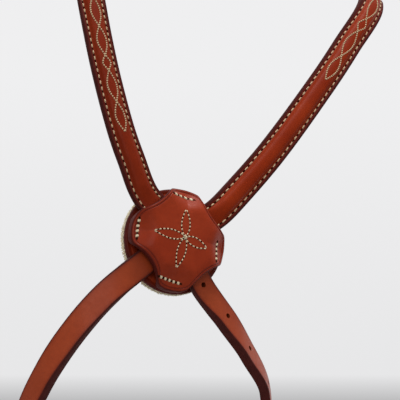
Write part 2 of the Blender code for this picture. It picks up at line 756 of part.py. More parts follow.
def upper_strap_depth():
    return lower_strap_depth() + GAP + NOSE_STRAP_THICK


def upper_knots(shares, side):
    spread = RING_HALF_SPREAD + side * CROSS_OFF
    size = (side * spread, CROSS_FORWARD, CROSS_DROP)
    return share_knots(shares, size)


def lower_knots(shares):
    return share_knots(shares, (CHIN_HALF_WIDTH, CHIN_SETBACK, CHIN_DROP))


def share_knots(shares, size):
    origin = crossing_point()
    knots = []
    for place, face in shares:
        point = origin + Vector([a * b for a, b in zip(place, size)])
        knots.append((point, None, face))
    return knots


def nose_hold(side):
    dip = math.radians(NOSE_LEAVE)
    out = FRONT * math.cos(dip) - UP * math.sin(dip)
    return ring_hold(side, out, 0.0)


def nose_half_width(cross_at):
    """Half width of a nose strap, wide above the rosette and narrower below it."""
    wide = NOSE_STRAP_WIDTH / 2
    narrow = CHIN_STRAP_WIDTH / 2
    change = BASE_RADIUS

    def width(s):
        return wide + (narrow - wide) * smooth((s - cross_at + change / 2) / change)
    return width


def nose_thick(cross_at, straight_at):
    """Thickness of a nose strap, greater between the rosette and the chin buckle's straight."""
    def thick(s):
        rise = smooth((s - cross_at - THICKER_FROM) / THICKER_RUN)
        fall = smooth((straight_at - s) / THINNER_RUN)
        return NOSE_STRAP_THICK + (CHIN_LOOP_THICK - NOSE_STRAP_THICK) * rise * fall
    return thick


def face_lift(thick):
    """Shift of the strap's middle that keeps its front face in place where it is thicker."""
    return lambda s: (NOSE_STRAP_THICK - thick(s)) / 2


def thick_marks(cross_at, straight_at):
    """Lengths where a nose strap's thickness begins, goes on and ends changing."""
    start = cross_at + THICKER_FROM
    return [start, start + THICKER_RUN / 2, start + THICKER_RUN,
            straight_at - THINNER_RUN, straight_at - THINNER_RUN / 2, straight_at]


def chin_straight():
    size = (CHIN_HALF_WIDTH, CHIN_SETBACK, CHIN_DROP)
    start = crossing_point() + Vector([a * b for a, b in zip(CHIN_STRAIGHT_SHARES, size)])
    way = Vector(CHIN_STRAIGHT_WAY).normalized()
    return start, way, Vector(CHIN_STRAIGHT_FACE)


def level_pair(depth, held, first, second):
    """Knots of the level stretch through the crossing, between the two strap exits; a strap that
    lies over another is held to the straight line."""
    origin = crossing_point()
    one = first[0] - origin
    two = second[0] - origin
    towards = Vector((one.x - two.x, 0.0, one.z - two.z)).normalized()
    middle = origin + FRONT * depth
    knots = []
    for side in (1, -1):
        knots.append((middle + towards * (side * CROSSING_FLAT), -towards if held else None, FRONT))
    return knots


def near_nose_route(side_hold):
    """Near ring, rosette, off side of the chin loop, round behind the chin to the chin buckle."""
    upper = upper_knots(NEAR_UPPER_SHARES, 1)
    lower = lower_knots(OFF_LOWER_SHARES)
    knots = [(strap_middle_at(side_hold, TURN_TAIL, NOSE_STRAP_THICK), side_hold[1], side_hold[2])]
    knots.extend(reversed(upper))
    level = level_pair(lower_strap_depth(), False, upper[0], lower[0])
    cross_index = len(knots)
    knots.extend(level)
    knots.extend(lower)
    start, way, face = chin_straight()
    knots.append((start + way * CHIN_STRAIGHT, -way, face))
    knots.append((start, -way, face))
    route = Route(knots)
    cross_at = (route.knot_length(cross_index) + route.knot_length(cross_index + 1)) / 2
    return route, cross_at


def off_nose_route(side_hold):
    """Off ring, rosette, near side of the chin loop and through the chin buckle."""
    upper = upper_knots(OFF_UPPER_SHARES, -1)
    lower = lower_knots(NEAR_LOWER_SHARES)
    knots = [(strap_middle_at(side_hold, TURN_TAIL, NOSE_STRAP_THICK), side_hold[1], side_hold[2])]
    knots.extend(reversed(upper))
    level = level_pair(upper_strap_depth(), True, upper[0], lower[0])
    cross_index = len(knots)
    knots.extend(level)
    knots.extend(lower)
    start, way, face = chin_straight()
    straight_index = len(knots)
    knots.append((start, way, face))
    knots.append((start + way * CHIN_STRAIGHT, way, face))
    route = Route(knots)
    cross_at = (route.knot_length(cross_index) + route.knot_length(cross_index + 1)) / 2
    return route, cross_at, route.knot_length(straight_index)


def chin_buckle():
    start, way, face = chin_straight()
    return Buckle("chin", start, way, face, CHIN_BUCKLE_AT, CHIN_STRAP_WIDTH / 2, NOSE_STRAP_THICK)


def near_nose_strap(buckle):
    hold = nose_hold(1)
    route, cross_at = near_nose_route(hold)
    width = nose_half_width(cross_at)
    thick = NOSE_STRAP_THICK
    straight_at = route.length - CHIN_STRAIGHT
    full_thick = nose_thick(cross_at, straight_at)
    bar_length = route.length - CHIN_BUCKLE_AT
    strap = Strap()
    strap.turn(hold[0], hold[1], hold[2], RING_WIRE_RADIUS, ring_sag(width(0.0)), width(0.0), thick, True)
    strap.stations.pop()
    strap.run(route, 0.0, bar_length - TURN_TAIL, width, full_thick, offset=face_lift(full_thick),
              extra=cover_ends(cross_at) + thick_marks(cross_at, straight_at))
    strap.stations.pop()
    strap.turn(buckle.bar, buckle.way, buckle.normal, BAR_RADIUS, 0.0, buckle.half_width, thick, False)
    made = strap.build("near_nose_strap", CHESTNUT)
    cut(made, buckle.tongue_slot())
    raised_cover("near", route, cross_at, bar_length - TURN_TAIL)


def off_nose_strap(buckle):
    hold = nose_hold(-1)
    route, cross_at, straight_at = off_nose_route(hold)
    width = nose_half_width(cross_at)
    thick = NOSE_STRAP_THICK
    full_thick = nose_thick(cross_at, straight_at)
    keep_face = face_lift(full_thick)
    bar_length = straight_at + CHIN_BUCKLE_AT
    tip = bar_length + BILLET_PAST_BAR
    point = billet_tip_width(CHIN_STRAP_WIDTH / 2, tip)
    strap = Strap()
    strap.turn(hold[0], hold[1], hold[2], RING_WIRE_RADIUS, ring_sag(width(0.0)), width(0.0), thick, True)
    strap.stations.pop()
    extra = tip_marks(CHIN_STRAP_WIDTH / 2, tip) + rise_marks(bar_length)
    extra += cover_ends(cross_at) + thick_marks(cross_at, straight_at)
    strap.run(route, 0.0, tip, lambda s: min(width(s), point(s)), full_thick,
              offset=lambda s: buckle.billet_lift(s - bar_length) + keep_face(s), extra=extra)
    made = strap.build("off_nose_strap", CHESTNUT)
    punch_billet(made, route, buckle, bar_length, cross_at + BASE_RADIUS - HOLE_RADIUS, tip - HOLE_PITCH / 2)
    raised_cover("off", route, cross_at, tip)


def cover_ends(cross_at):
    """Lengths along a nose strap where its raised cover begins and ends."""
    return [COVER_START - TURN_TAIL, cross_at - COVER_TO_CROSSING]


def raised_cover(side_name, route, cross_at, strap_end):
    """The raised strip sewn on a nose strap, and the padding that it is stretched over."""
    start, end = cover_ends(cross_at)
    half = NOSE_STRAP_WIDTH / 2
    crown_half = half - COVER_FLANGE
    base = NOSE_STRAP_THICK / 2 + GAP
    marks = [s for s in route.marks(0.0, strap_end, (start, end)) if start <= s <= end]
    frames = []
    covers = []
    for s in marks:
        place, along, normal, across = route.at(s)
        frames.append((place + normal * base, normal, across))
        fade = smooth((s - start) / COVER_FADE) * smooth((end - s) / COVER_FADE)
        covers.append(cover_section(half, crown_half, COVER_RISE * fade))
    add_object(side_name + "_raised_cover", sweep(frames, covers), RAISED)
    inside = [m for m in marks if start + COVER_FADE / 2 < m < end - COVER_FADE / 2]
    frames = []
    cores = []
    for s in inside:
        place, along, normal, across = route.at(s)
        frames.append((place + normal * base, normal, across))
        fade = smooth((s - start) / COVER_FADE) * smooth((end - s) / COVER_FADE)
        cores.append(core_section(crown_half, COVER_RISE * fade))
    add_object(side_name + "_padding", sweep(frames, cores), FELT)


CROWN_SHARES = ((1.0, 0.0), (0.72, 0.62), (0.36, 0.93), (0.0, 1.0))
COVER_EDGE_SHARES = (0.4, 0.7)   # rounding of the sewn edge, across and up
CORE_SHARE = 0.93            # the padding fills this much of the hollow


def cover_section(half, crown_half, rise):
    """Flat sewn edges with a crown between them, hollow below."""
    across, up = COVER_EDGE_SHARES
    outer = [(-half, 0.0), (-half, COVER_EDGE * up), (-half + COVER_EDGE * across, COVER_EDGE)]
    arch = [(-crown_half * a, COVER_EDGE + rise * b) for a, b in CROWN_SHARES]
    outer.extend(arch)
    outer.extend((-a, b) for a, b in reversed(arch[:-1]))
    outer.extend((-a, b) for a, b in reversed(outer[:3]))
    inner_half = crown_half - COVER_WALL
    hollow = max(COVER_EDGE + rise - COVER_WALL, COVER_LEAST_HOLLOW)
    inner = [(inner_half * a, hollow * b) for a, b in CROWN_SHARES]
    inner.extend((-a, b) for a, b in reversed(inner[:-1]))
    return outer + inner


def core_section(crown_half, rise):
    inner_half = crown_half - COVER_WALL - GAP
    hollow = COVER_EDGE + rise - COVER_WALL - GAP
    low = GAP
    arch = [(-inner_half * a * CORE_SHARE, hollow * b * CORE_SHARE) for a, b in CROWN_SHARES[1:]]
    section = [(-inner_half * CORE_SHARE, low)]
    section.extend(arch)
    section.extend((-a, b) for a, b in reversed(arch[:-1]))
    section.append((inner_half * CORE_SHARE, low))
    return section


# Rosette

def rosette_place(across, up, depth):
    """A point of the rosette: right, up and towards the front from the base's front face."""
    return crossing_point() + RIGHT * across + UP * up + FRONT * depth


def disc(profile, steps=48):
    """Turn a profile of radius and depth about the base's axis; the first and last lie on it."""
    shape = bmesh.new()
    first = shape.verts.new(rosette_place(BASE_SHIFT, 0.0, profile[0][1]))
    last = shape.verts.new(rosette_place(BASE_SHIFT, 0.0, profile[-1][1]))
    rings = []
    for radius, depth in profile[1:-1]:
        ring = []
        for i in range(steps):
            angle = 2 * math.pi * i / steps
            across = BASE_SHIFT + radius * math.cos(angle)
            ring.append(shape.verts.new(rosette_place(across, radius * math.sin(angle), depth)))
        rings.append(ring)
    for one, two in zip(rings, rings[1:]):
        for i in range(steps):
            j = (i + 1) % steps
            shape.faces.new((one[i], one[j], two[j], two[i]))
    for i in range(steps):
        j = (i + 1) % steps
        shape.faces.new((first, rings[0][j], rings[0][i]))
        shape.faces.new((last, rings[-1][i], rings[-1][j]))
    return shape


def rosette_base():
    r = CORNER_ROUND
    profile = [(0.0, 0.0), (BASE_RADIUS - r, 0.0), (BASE_RADIUS, -r), (BASE_RADIUS, -BASE_THICK + r),
               (BASE_RADIUS - r, -BASE_THICK), (0.0, -BASE_THICK)]
    add_object("rosette_base", disc(profile), ROSETTE, pivot=crossing_point())


def fleece_pad():
    """Sheepskin lens behind the base: full rounded edge, flat where it lies on the nose."""
    front = -BASE_THICK - GAP
    edge = BASE_RADIUS - FLEECE_INSET
    shoulder = edge * FLEECE_SHOULDER_SHARE
    flat = edge * FLEECE_FLAT_SHARE
    profile = [(0.0, front), (shoulder, front)]
    edge_steps = 6
    for i in range(1, edge_steps):
        angle = math.pi * i / edge_steps
        bulge = shoulder + (edge - shoulder) * math.sin(angle)
        narrow = (shoulder - flat) * smooth(i / edge_steps) * (1 - math.sin(angle))
        profile.append((bulge - narrow, front - FLEECE_THICK * (1 - math.cos(angle)) / 2))
    profile.extend([(flat, front - FLEECE_THICK), (0.0, front - FLEECE_THICK)])
    add_object("fleece_pad", disc(profile, 40), FLEECE, pivot=crossing_point())


def top_outline(angle):
    """Radius of the scalloped top: four broad lobes on the axes, hollow curves over the straps."""
    quadrant = int((angle % (2 * math.pi)) // (math.pi / 2))
    off_diagonal = abs(angle % (math.pi / 2) - math.pi / 4)
    nearest = (SCALLOP_OVER_NEAR_UPPER, SCALLOP_OVER_OFF_UPPER,
               SCALLOP_OVER_OFF_LOWER, SCALLOP_OVER_NEAR_LOWER)[quadrant]
    centre = nearest + SCALLOP_RADIUS
    side = centre * math.sin(off_diagonal)
    scallop = centre * math.cos(off_diagonal) - math.sqrt(max(0.0, SCALLOP_RADIUS ** 2 - side ** 2))
    lobe = LOBE_RADIUS + LOWER_LOBE_MORE * max(0.0, -math.sin(angle)) ** 4
    ease = lobe * CORNER_EASE_SHARE
    gap = scallop - lobe
    return (scallop + lobe - math.sqrt(gap * gap + 4 * ease * ease)) / 2


def top_faces(across, up):
    """Heights of the top's two faces above the base: level over the crossing, up over each strap at
    the rim, down on the base at the lobes."""
    radius = math.hypot(across, up)
    angle = math.degrees(math.atan2(up, across)) % 360.0
    quadrant = int(angle // 90.0)
    from_strap = abs(angle - 90.0 * quadrant - 45.0)
    rims = (RIM_OVER_NEAR_UPPER, RIM_OVER_OFF_UPPER, RIM_OVER_OFF_LOWER, RIM_OVER_NEAR_LOWER)
    aside = radius * math.sin(math.radians(from_strap))
    down = smooth((aside - STRAP_SIDE) / (LOBE_SIDE - STRAP_SIDE))
    outer_down = smooth((aside - OUTER_STRAP_SIDE) / (OUTER_LOBE_SIDE - OUTER_STRAP_SIDE))
    full = (GAP + NOSE_STRAP_THICK) * 2
    over_strap = smooth((radius - SHOULDER_RADIUS) / (LOBE_RADIUS - SHOULDER_RADIUS))
    in_lobe = smooth((radius - LOBE_SHOULDER) / (LOBE_RADIUS - LOBE_SHOULDER))
    rim_rise = (rims[quadrant] - full) * over_strap
    low = GAP + full + rim_rise * (1 - down) + (LOBE_REST - full) * in_lobe * down
    dome = max(0.0, 1 - (radius / LOBE_RADIUS) ** 2)
    high = GAP + full + TOP_THICK + TOP_DOME * dome
    high += rim_rise * (1 - outer_down) - LOBE_FALL * in_lobe * outer_down
    return low, high


RIM_SHARES = ((1.012, 0.18), (1.004, 0.72))


def rosette_top():
    """The thick domed top: a leather of even thickness drawn over the crossing, sewn at its lobes."""
    steps = 72
    ring_shares = (0.35, 0.60, 0.72, 0.82, 0.91, 0.97)
    shape = bmesh.new()
    lows = []
    highs = []
    low, high = top_faces(0.0, 0.0)
    low_middle = shape.verts.new(rosette_place(0.0, 0.0, low))
    high_middle = shape.verts.new(rosette_place(0.0, 0.0, high))
    rim = []
    for i in range(steps):
        angle = 2 * math.pi * (i + 0.5) / steps
        edge = top_outline(angle)
        low_line = []
        high_line = []
        for share in ring_shares:
            x = edge * share * math.cos(angle)
            y = edge * share * math.sin(angle)
            low, high = top_faces(x, y)
            low_line.append(shape.verts.new(rosette_place(x, y, low)))
            high_line.append(shape.verts.new(rosette_place(x, y, high)))
        rim_line = []
        for out_share, up_share in RIM_SHARES:
            x = edge * out_share * math.cos(angle)
            y = edge * out_share * math.sin(angle)
            low, high = top_faces(x, y)
            rim_line.append(shape.verts.new(rosette_place(x, y, low + (high - low) * up_share)))
        rim.append(rim_line)
        lows.append(low_line)
        highs.append(high_line)
    for i in range(steps):
        j = (i + 1) % steps
        shape.faces.new((low_middle, lows[j][0], lows[i][0]))
        shape.faces.new((high_middle, highs[i][0], highs[j][0]))
        for k in range(len(ring_shares) - 1):
            shape.faces.new((lows[i][k], lows[j][k], lows[j][k + 1], lows[i][k + 1]))
            shape.faces.new((highs[i][k], highs[i][k + 1], highs[j][k + 1], highs[j][k]))
        shape.faces.new((lows[i][-1], lows[j][-1], rim[j][0], rim[i][0]))
        shape.faces.new((rim[i][0], rim[j][0], rim[j][1], rim[i][1]))
        shape.faces.new((rim[i][1], rim[j][1], highs[j][-1], highs[i][-1]))
    add_object("rosette_top", shape, ROSETTE, pivot=crossing_point())


def build():
    clear_scene()
    cheek_ring("near_cheek_ring", 1)
    cheek_ring("off_cheek_ring", -1)
    headstall()
    jaw_strap()
    buckle = chin_buckle()
    near_nose_strap(buckle)
    off_nose_strap(buckle)
    buckle.build_hardware()
    rosette_base()
    fleece_pad()
    rosette_top()


build()
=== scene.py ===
"""Dressed model of a figure eight noseband: fine leather, thread, steel and fleece round the CAD frame.

Metres, +Z up, the same frame as the CAD. Near is +X, off is -X.
"""
import bisect
import math
import random

import bmesh
import bpy
from mathutils import Matrix, Vector, kdtree


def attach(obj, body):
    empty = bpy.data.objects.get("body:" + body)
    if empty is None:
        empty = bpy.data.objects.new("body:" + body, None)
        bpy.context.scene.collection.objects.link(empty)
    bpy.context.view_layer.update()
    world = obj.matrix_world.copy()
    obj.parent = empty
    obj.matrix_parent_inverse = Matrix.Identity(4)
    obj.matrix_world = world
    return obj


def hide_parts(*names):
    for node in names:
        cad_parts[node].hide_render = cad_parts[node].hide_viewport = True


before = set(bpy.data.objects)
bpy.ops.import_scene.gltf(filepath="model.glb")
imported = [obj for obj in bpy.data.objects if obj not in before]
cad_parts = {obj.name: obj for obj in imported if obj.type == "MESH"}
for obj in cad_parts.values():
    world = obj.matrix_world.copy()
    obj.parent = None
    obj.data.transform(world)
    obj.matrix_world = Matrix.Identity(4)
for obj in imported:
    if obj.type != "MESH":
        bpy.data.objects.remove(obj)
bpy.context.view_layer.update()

# The sizes and routes below repeat those of the CAD

# Clearances
GAP = 0.0003                 # between pieces that touch
RUNNING = 0.0006             # round a ring or a bar that turns in its leather loop
SLIDE = 0.0005               # round a keeper that slides on its straps

# Where the main points of the noseband lie
RING_HALF_SPREAD = 0.118     # cheek ring centre from the middle plane
RING_DROP = 0.250            # cheek ring centres below the poll
CROSS_FORWARD = 0.100        # the crossing in front of the cheek rings
CROSS_DROP = 0.262           # the crossing below the cheek rings
CROSS_OFF = 0.018            # how far the rosette has slipped to the off side
CHIN_HALF_WIDTH = 0.098      # chin loop, half width
CHIN_DROP = 0.190            # chin loop's lowest line below the crossing
CHIN_SETBACK = 0.110         # chin loop's rearmost line behind the crossing

# Leather
NOSE_STRAP_WIDTH = 0.0181
CHIN_STRAP_WIDTH = 0.0156
NOSE_STRAP_THICK = 0.0045
CHIN_LOOP_THICK = 0.0062       # the same straps between the rosette and the chin buckle
THICKER_FROM = 0.035           # from the crossing to where they begin to thicken
THICKER_RUN = 0.020
THINNER_RUN = 0.036            # and back, before the straight with the chin buckle
HEAD_STRAP_WIDTH = 0.0159
HEAD_STRAP_THICK = 0.0034
SKIVED_THICK = 0.0020        # where a strap is pared down to turn round a ring or a bar
CORNER_ROUND = 0.0011        # rounded and burnished edges
MOST_ROUND_SHARE = 0.45      # a corner is rounded by no more than this much of a thin side
PAIR_GAP = 0.0003            # between the two layers of a turned end
TURN_TAIL = 0.026            # length of the turned-back end
TURN_CLOSE = 0.009           # where the two layers have closed up behind a ring or bar

# Raised cover on the nose straps and the padding inside it
COVER_EDGE = 0.0013          # flat sewn edge of the raised cover
COVER_WALL = 0.0011          # leather over the padding
COVER_FLANGE = 0.0037        # width of the sewn edge
COVER_LEAST_HOLLOW = 0.00014 # under the cover where it has no padding
COVER_RISE = 0.0026          # crown of the padding above the sewn edge
COVER_FADE = 0.018           # length over which the padding runs out
COVER_START = 0.032          # from the ring's wire to the raised cover
COVER_TO_CROSSING = 0.0240   # from the crossing to the end of the raised cover

# Rosette
BASE_RADIUS = 0.0325
BASE_THICK = 0.0042
BASE_SHIFT = 0.0006          # the base's middle from the crossing, to the near side
FLEECE_INSET = 0.0004        # the pad's edge inside the base's edge
FLEECE_THICK = 0.0040
TOP_THICK = 0.0044           # the scalloped top's leather
TOP_DOME = 0.0010            # the top's leather is this much thicker in the middle
LOBE_RADIUS = 0.0310         # outer end of the top's four lobes
LOWER_LOBE_MORE = 0.0013     # the lowest lobe reaches this much further
LOBE_REST = 0.0004           # the lobes' underside above the base
SCALLOP_RADIUS = 0.0363      # the hollow curves between the lobes
SCALLOP_OVER_NEAR_UPPER = 0.0244  # least distance of each scallop from the centre
SCALLOP_OVER_OFF_UPPER = 0.0264
SCALLOP_OVER_OFF_LOWER = 0.0250
SCALLOP_OVER_NEAR_LOWER = 0.0258
CORNER_EASE_SHARE = 0.028    # how far the lobes' corners are rounded off
CROSSING_FLAT = 0.0100       # half length of the level stretch at the crossing
SHOULDER_RADIUS = 0.0190     # where the top begins to come down towards its rim, over a strap
LOBE_SHOULDER = 0.0115       # and in a lobe
STRAP_SIDE = 0.0108          # the top's underside stays up this far either side of a strap's line
LOBE_SIDE = 0.0172           # and from here on its lobes lie on the base
OUTER_STRAP_SIDE = 0.0065    # the same for its outer face, which is smoother
OUTER_LOBE_SIDE = 0.0200
LOBE_FALL = 0.0070           # how far the outer face comes down in a lobe
RIM_OVER_NEAR_UPPER = 0.0066 # height of the top's underside at its rim, over each strap
RIM_OVER_OFF_UPPER = 0.0106
RIM_OVER_OFF_LOWER = 0.0054
RIM_OVER_NEAR_LOWER = 0.0078

# Cheek rings
RING_MEAN_RADIUS = 0.0187
RING_WIRE_RADIUS = 0.0023

# Buckles and keepers
BAR_RADIUS = 0.0015
BUCKLE_REACH = 0.0190        # heel bar to front bar
BUCKLE_CORNER = 0.0030
BUCKLE_SIDE_ROOM = 0.0008    # beside the strap
TONGUE_WIDTH = 0.0022
TONGUE_THICK = 0.0016
TONGUE_HOLE = 0.0080         # heel bar to the hole in use
TONGUE_CLEAR = 0.0003
TONGUE_BEND = 0.0018         # the bend that takes the tongue up through the hole
HOLE_RADIUS = 0.0016
HOLE_PITCH = 0.0254
WORN_HOLE_LENGTH = 0.0065    # the hole in use is drawn out by the tongue
BILLET_RISE_RUN = 0.025      # length over which the billet climbs onto the buckle end
KEEPER_WIDTH = 0.0070
KEEPER_THICK = 0.0016
KEEPER_ROUND = 0.0014
FIXED_KEEPER_BACK = 0.0150   # heel bar to the fixed keeper's middle
RUNNER_BACK = 0.0420         # heel bar to the runner's middle
BILLET_PAST_BAR = 0.0660     # heel bar to the billet's tip
TIP_LENGTH_SHARE = 1.1       # length of the rounded tip, as a share of the half width
TIP_END_SHARE = 0.12         # what is left of the half width at the very end

# Where the straps leave the cheek rings, in degrees from straight up, and how they lean in
CHEEK_LEAN = 9.5
NOSE_LEAVE = 30.0            # below straight forward
JAW_LEAVE = -12.0            # below straight back
JAW_LEAN = 13.0

# Headstall and jaw strap
CHEEK_STRAIGHT = 0.132
CHEEK_BUCKLE_AT = 0.046
CROWN_FLAT_HALF = 0.013
JAW_STRAIGHT = 0.098
JAW_BUCKLE_AT = 0.030
JAW_REACH = 0.222            # ring centre to the back of the jaw strap
CHIN_STRAIGHT = 0.108
CHIN_BUCKLE_AT = 0.0405

# Routes of the nose straps from the rosette's rim to the rings, as shares of the crossing-to-ring
# distances across, back and up, with the way the leather faces
NEAR_UPPER_SHARES = (
    ((0.173, -0.026, 0.084), (0.0, -1.0, 0.0)),
    ((0.246, -0.024, 0.134), (-0.05, -1.0, 0.0)),
    ((0.423, -0.010, 0.275), (-0.12, -1.0, 0.05)),
    ((0.656, 0.040, 0.489), (-0.15, -0.98, 0.10)),
    ((0.786, 0.090, 0.616), (-0.10, -0.97, 0.20)),
    ((0.934, 0.185, 0.767), (0.15, -0.90, 0.42)),
)
OFF_UPPER_SHARES = (
    ((0.247, -0.034, 0.083), (0.0, -1.0, 0.0)),
    ((0.374, -0.026, 0.161), (0.06, -1.0, 0.0)),
    ((0.465, -0.010, 0.228), (0.08, -1.0, 0.0)),
    ((0.586, 0.030, 0.344), (0.07, -1.0, 0.0)),
    ((0.670, 0.070, 0.441), (0.03, -1.0, 0.05)),
    ((0.741, 0.130, 0.544), (-0.12, -1.0, 0.15)),
    ((0.850, 0.300, 0.740), (-0.50, -0.80, 0.40)),
)
# Routes below the rosette, as shares of the chin loop's half width, setback and drop
OFF_LOWER_SHARES = (
    ((-0.232, -0.024, -0.121), (0.0, -1.0, 0.0)),
    ((-0.410, 0.009, -0.234), (-0.35, -0.93, 0.15)),
    ((-0.560, 0.073, -0.373), (-0.55, -0.80, 0.25)),
    ((-0.657, 0.164, -0.517), (-0.72, -0.62, 0.30)),
    ((-0.700, 0.330, -0.700), (-0.92, -0.25, 0.10)),
    ((-0.630, 0.620, -0.850), (-0.90, 0.15, -0.35)),
    ((-0.380, 0.960, -0.960), (-0.50, 0.60, -0.60)),
    ((0.020, 1.140, -1.000), (0.05, 0.75, -0.66)),
    ((0.400, 1.120, -0.985), (0.50, 0.65, -0.50)),
)
NEAR_LOWER_SHARES = (
    ((0.216, -0.034, -0.130), (0.06, -1.0, 0.04)),
    ((0.420, -0.009, -0.210), (0.30, -0.93, 0.25)),
    ((0.624, 0.027, -0.301), (0.52, -0.78, 0.40)),
    ((0.812, 0.082, -0.406), (0.72, -0.60, 0.42)),
)
CHIN_LOOP = (CHIN_HALF_WIDTH, CHIN_SETBACK, CHIN_DROP)
CHIN_STRAIGHT_SHARES = (0.895, 0.205, -0.585)
CHIN_STRAIGHT_WAY = (-0.15, 0.80, -0.58)
CHIN_STRAIGHT_FACE = (0.97, 0.20, -0.10)

RIGHT = Vector((1.0, 0.0, 0.0))
BACK = Vector((0.0, 1.0, 0.0))
UP = Vector((0.0, 0.0, 1.0))
FRONT = -BACK


def smooth(share):
    """A gentle step from 0 to 1."""
    x = min(1.0, max(0.0, share))
    return x * x * (3.0 - 2.0 * x)


class Route:
    """A smooth line through knots, each with a place, an optional direction and a facing."""

    STEPS = 24

    def __init__(self, knots):
        places = [Vector(k[0]) for k in knots]
        faces = [Vector(k[2]).normalized() for k in knots]
        last = len(places) - 1
        ways = []
        for i, (_, way, _) in enumerate(knots):
            chord = places[min(i + 1, last)] - places[max(i - 1, 0)]
            ways.append((chord if way is None else Vector(way)).normalized())
        self.points = [places[0]]
        self.faces = [faces[0]]
        self.knot_index = [0]
        for i in range(last):
            chord = (places[i + 1] - places[i]).length
            for j in range(1, self.STEPS + 1):
                x = j / self.STEPS
                self.points.append(hermite(places[i], ways[i] * chord, places[i + 1], ways[i + 1] * chord, x))
                self.faces.append(faces[i].lerp(faces[i + 1], smooth(x)).normalized())
            self.knot_index.append(len(self.points) - 1)
        self.lengths = [0.0]
        for a, b in zip(self.points, self.points[1:]):
            self.lengths.append(self.lengths[-1] + (b - a).length)
        self.length = self.lengths[-1]

    def knot_length(self, index):
        return self.lengths[self.knot_index[index]]

    def at(self, s):
        """Place, direction, outward normal and width direction at a length along the line."""
        s = min(self.length, max(0.0, s))
        high = min(len(self.lengths) - 1, max(1, bisect.bisect_right(self.lengths, s)))
        low = high - 1
        x = (s - self.lengths[low]) / (self.lengths[high] - self.lengths[low])
        place = self.points[low].lerp(self.points[high], x)
        face = self.faces[low].lerp(self.faces[high], x)
        along = self.tangent(low).lerp(self.tangent(high), x).normalized()
        normal = (face - along * face.dot(along)).normalized()
        return place, along, normal, along.cross(normal)

    def tangent(self, index):
        before = max(0, index - 1)
        after = min(len(self.points) - 1, index + 1)
        return (self.points[after] - self.points[before]).normalized()


def hermite(p0, m0, p1, m1, x):
    """A point of the curve between two places with their slopes."""
    xx = x * x
    xxx = xx * x
    return (p0 * (2 * xxx - 3 * xx + 1) + m0 * (xxx - 2 * xx + x)
            + p1 * (3 * xx - 2 * xxx) + m1 * (xxx - xx))


def turns(count):
    """Angles evenly round a circle."""
    return [2 * math.pi * i / count for i in range(count)]


def arc(start, sweep, steps):
    """Angles along an arc, both ends included."""
    return [start + sweep * i / steps for i in range(steps + 1)]


def ellipse(centre, one, two, sides):
    """Points round a centre, with the two half axes as vectors."""
    return [centre + one * math.cos(angle) + two * math.sin(angle) for angle in turns(sides)]


def ring_sag(half_width):
    """How far the ring's wire falls away at the edge of a strap that hangs on it."""
    return RING_MEAN_RADIUS - math.sqrt(RING_MEAN_RADIUS ** 2 - half_width ** 2)


def ring_centre(side):
    return Vector((side * RING_HALF_SPREAD, 0.0, -RING_DROP))


def ring_hold(side, out, lean):
    """Where a strap takes hold of a ring: wire point, the way the strap leaves and the way it faces."""
    tilt = math.radians(lean)
    outward = RIGHT * side
    away = out * math.cos(tilt) - outward * math.sin(tilt)
    normal = outward * math.cos(tilt) + out * math.sin(tilt)
    return ring_centre(side) + out * RING_MEAN_RADIUS, away, normal


def strap_middle_at(hold, reach, thick):
    """Middle of the strap's main layer at a distance from the bar or wire it turns round."""
    middle, away, normal = hold
    return middle + away * reach + normal * (PAIR_GAP / 2 + thick / 2)


def rounded_rectangle(x0, x1, y0, y1, radius, corner_steps):
    """Corner arcs of a rounded rectangle, anticlockwise."""
    corners = ((x1 - radius, y0 + radius), (x1 - radius, y1 - radius),
               (x0 + radius, y1 - radius), (x0 + radius, y0 + radius))
    return [(cx + radius * math.cos(angle), cy + radius * math.sin(angle))
            for number, (cx, cy) in enumerate(corners)
            for angle in arc(math.pi / 2 * (number - 1), math.pi / 2, corner_steps)]


def fine_outline(corners, step):
    """The same closed outline with more points on its straights."""
    outline = []
    for (x, y), (x2, y2) in zip(corners, corners[1:] + corners[:1]):
        steps = max(1, int(math.dist((x, y), (x2, y2)) / step))
        outline += [(x + (x2 - x) * k / steps, y + (y2 - y) * k / steps) for k in range(steps)]
    return outline


def crossing_point():
    return Vector((-CROSS_OFF, -CROSS_FORWARD, -RING_DROP - CROSS_DROP))


def lower_strap_depth():
    """Middle of the strap that lies on the rosette's base, forward of the base."""
    return GAP + NOSE_STRAP_THICK / 2


def upper_strap_depth():
    return lower_strap_depth() + GAP + NOSE_STRAP_THICK


def share_knots(shares, size):
    origin = crossing_point()
    return [(origin + Vector([a * b for a, b in zip(place, size)]), None, face) for place, face in shares]


def nose_hold(side):
    dip = math.radians(NOSE_LEAVE)
    out = FRONT * math.cos(dip) - UP * math.sin(dip)
    return ring_hold(side, out, 0.0)


def nose_half_width(cross_at):
    """Half width of a nose strap, wide above the rosette and narrower below it."""
    wide = NOSE_STRAP_WIDTH / 2
    narrow = CHIN_STRAP_WIDTH / 2
    change = BASE_RADIUS

    def width(s):
        return wide + (narrow - wide) * smooth((s - cross_at + change / 2) / change)
    return width


def nose_thick(cross_at, straight_at):
    """Thickness of a nose strap, greater between the rosette and the chin buckle's straight."""
    def thick(s):
        rise = smooth((s - cross_at - THICKER_FROM) / THICKER_RUN)
        fall = smooth((straight_at - s) / THINNER_RUN)
        return NOSE_STRAP_THICK + (CHIN_LOOP_THICK - NOSE_STRAP_THICK) * rise * fall
    return thick


def face_lift(thick):
    """Shift of the strap's middle that keeps its front face in place where it is thicker."""
    return lambda s: (NOSE_STRAP_THICK - thick(s)) / 2


def chin_straight():
    """Where the straight with the chin buckle begins, where it heads and how it faces."""
    start = crossing_point() + Vector([a * b for a, b in zip(CHIN_STRAIGHT_SHARES, CHIN_LOOP)])
    return start, Vector(CHIN_STRAIGHT_WAY).normalized(), Vector(CHIN_STRAIGHT_FACE)


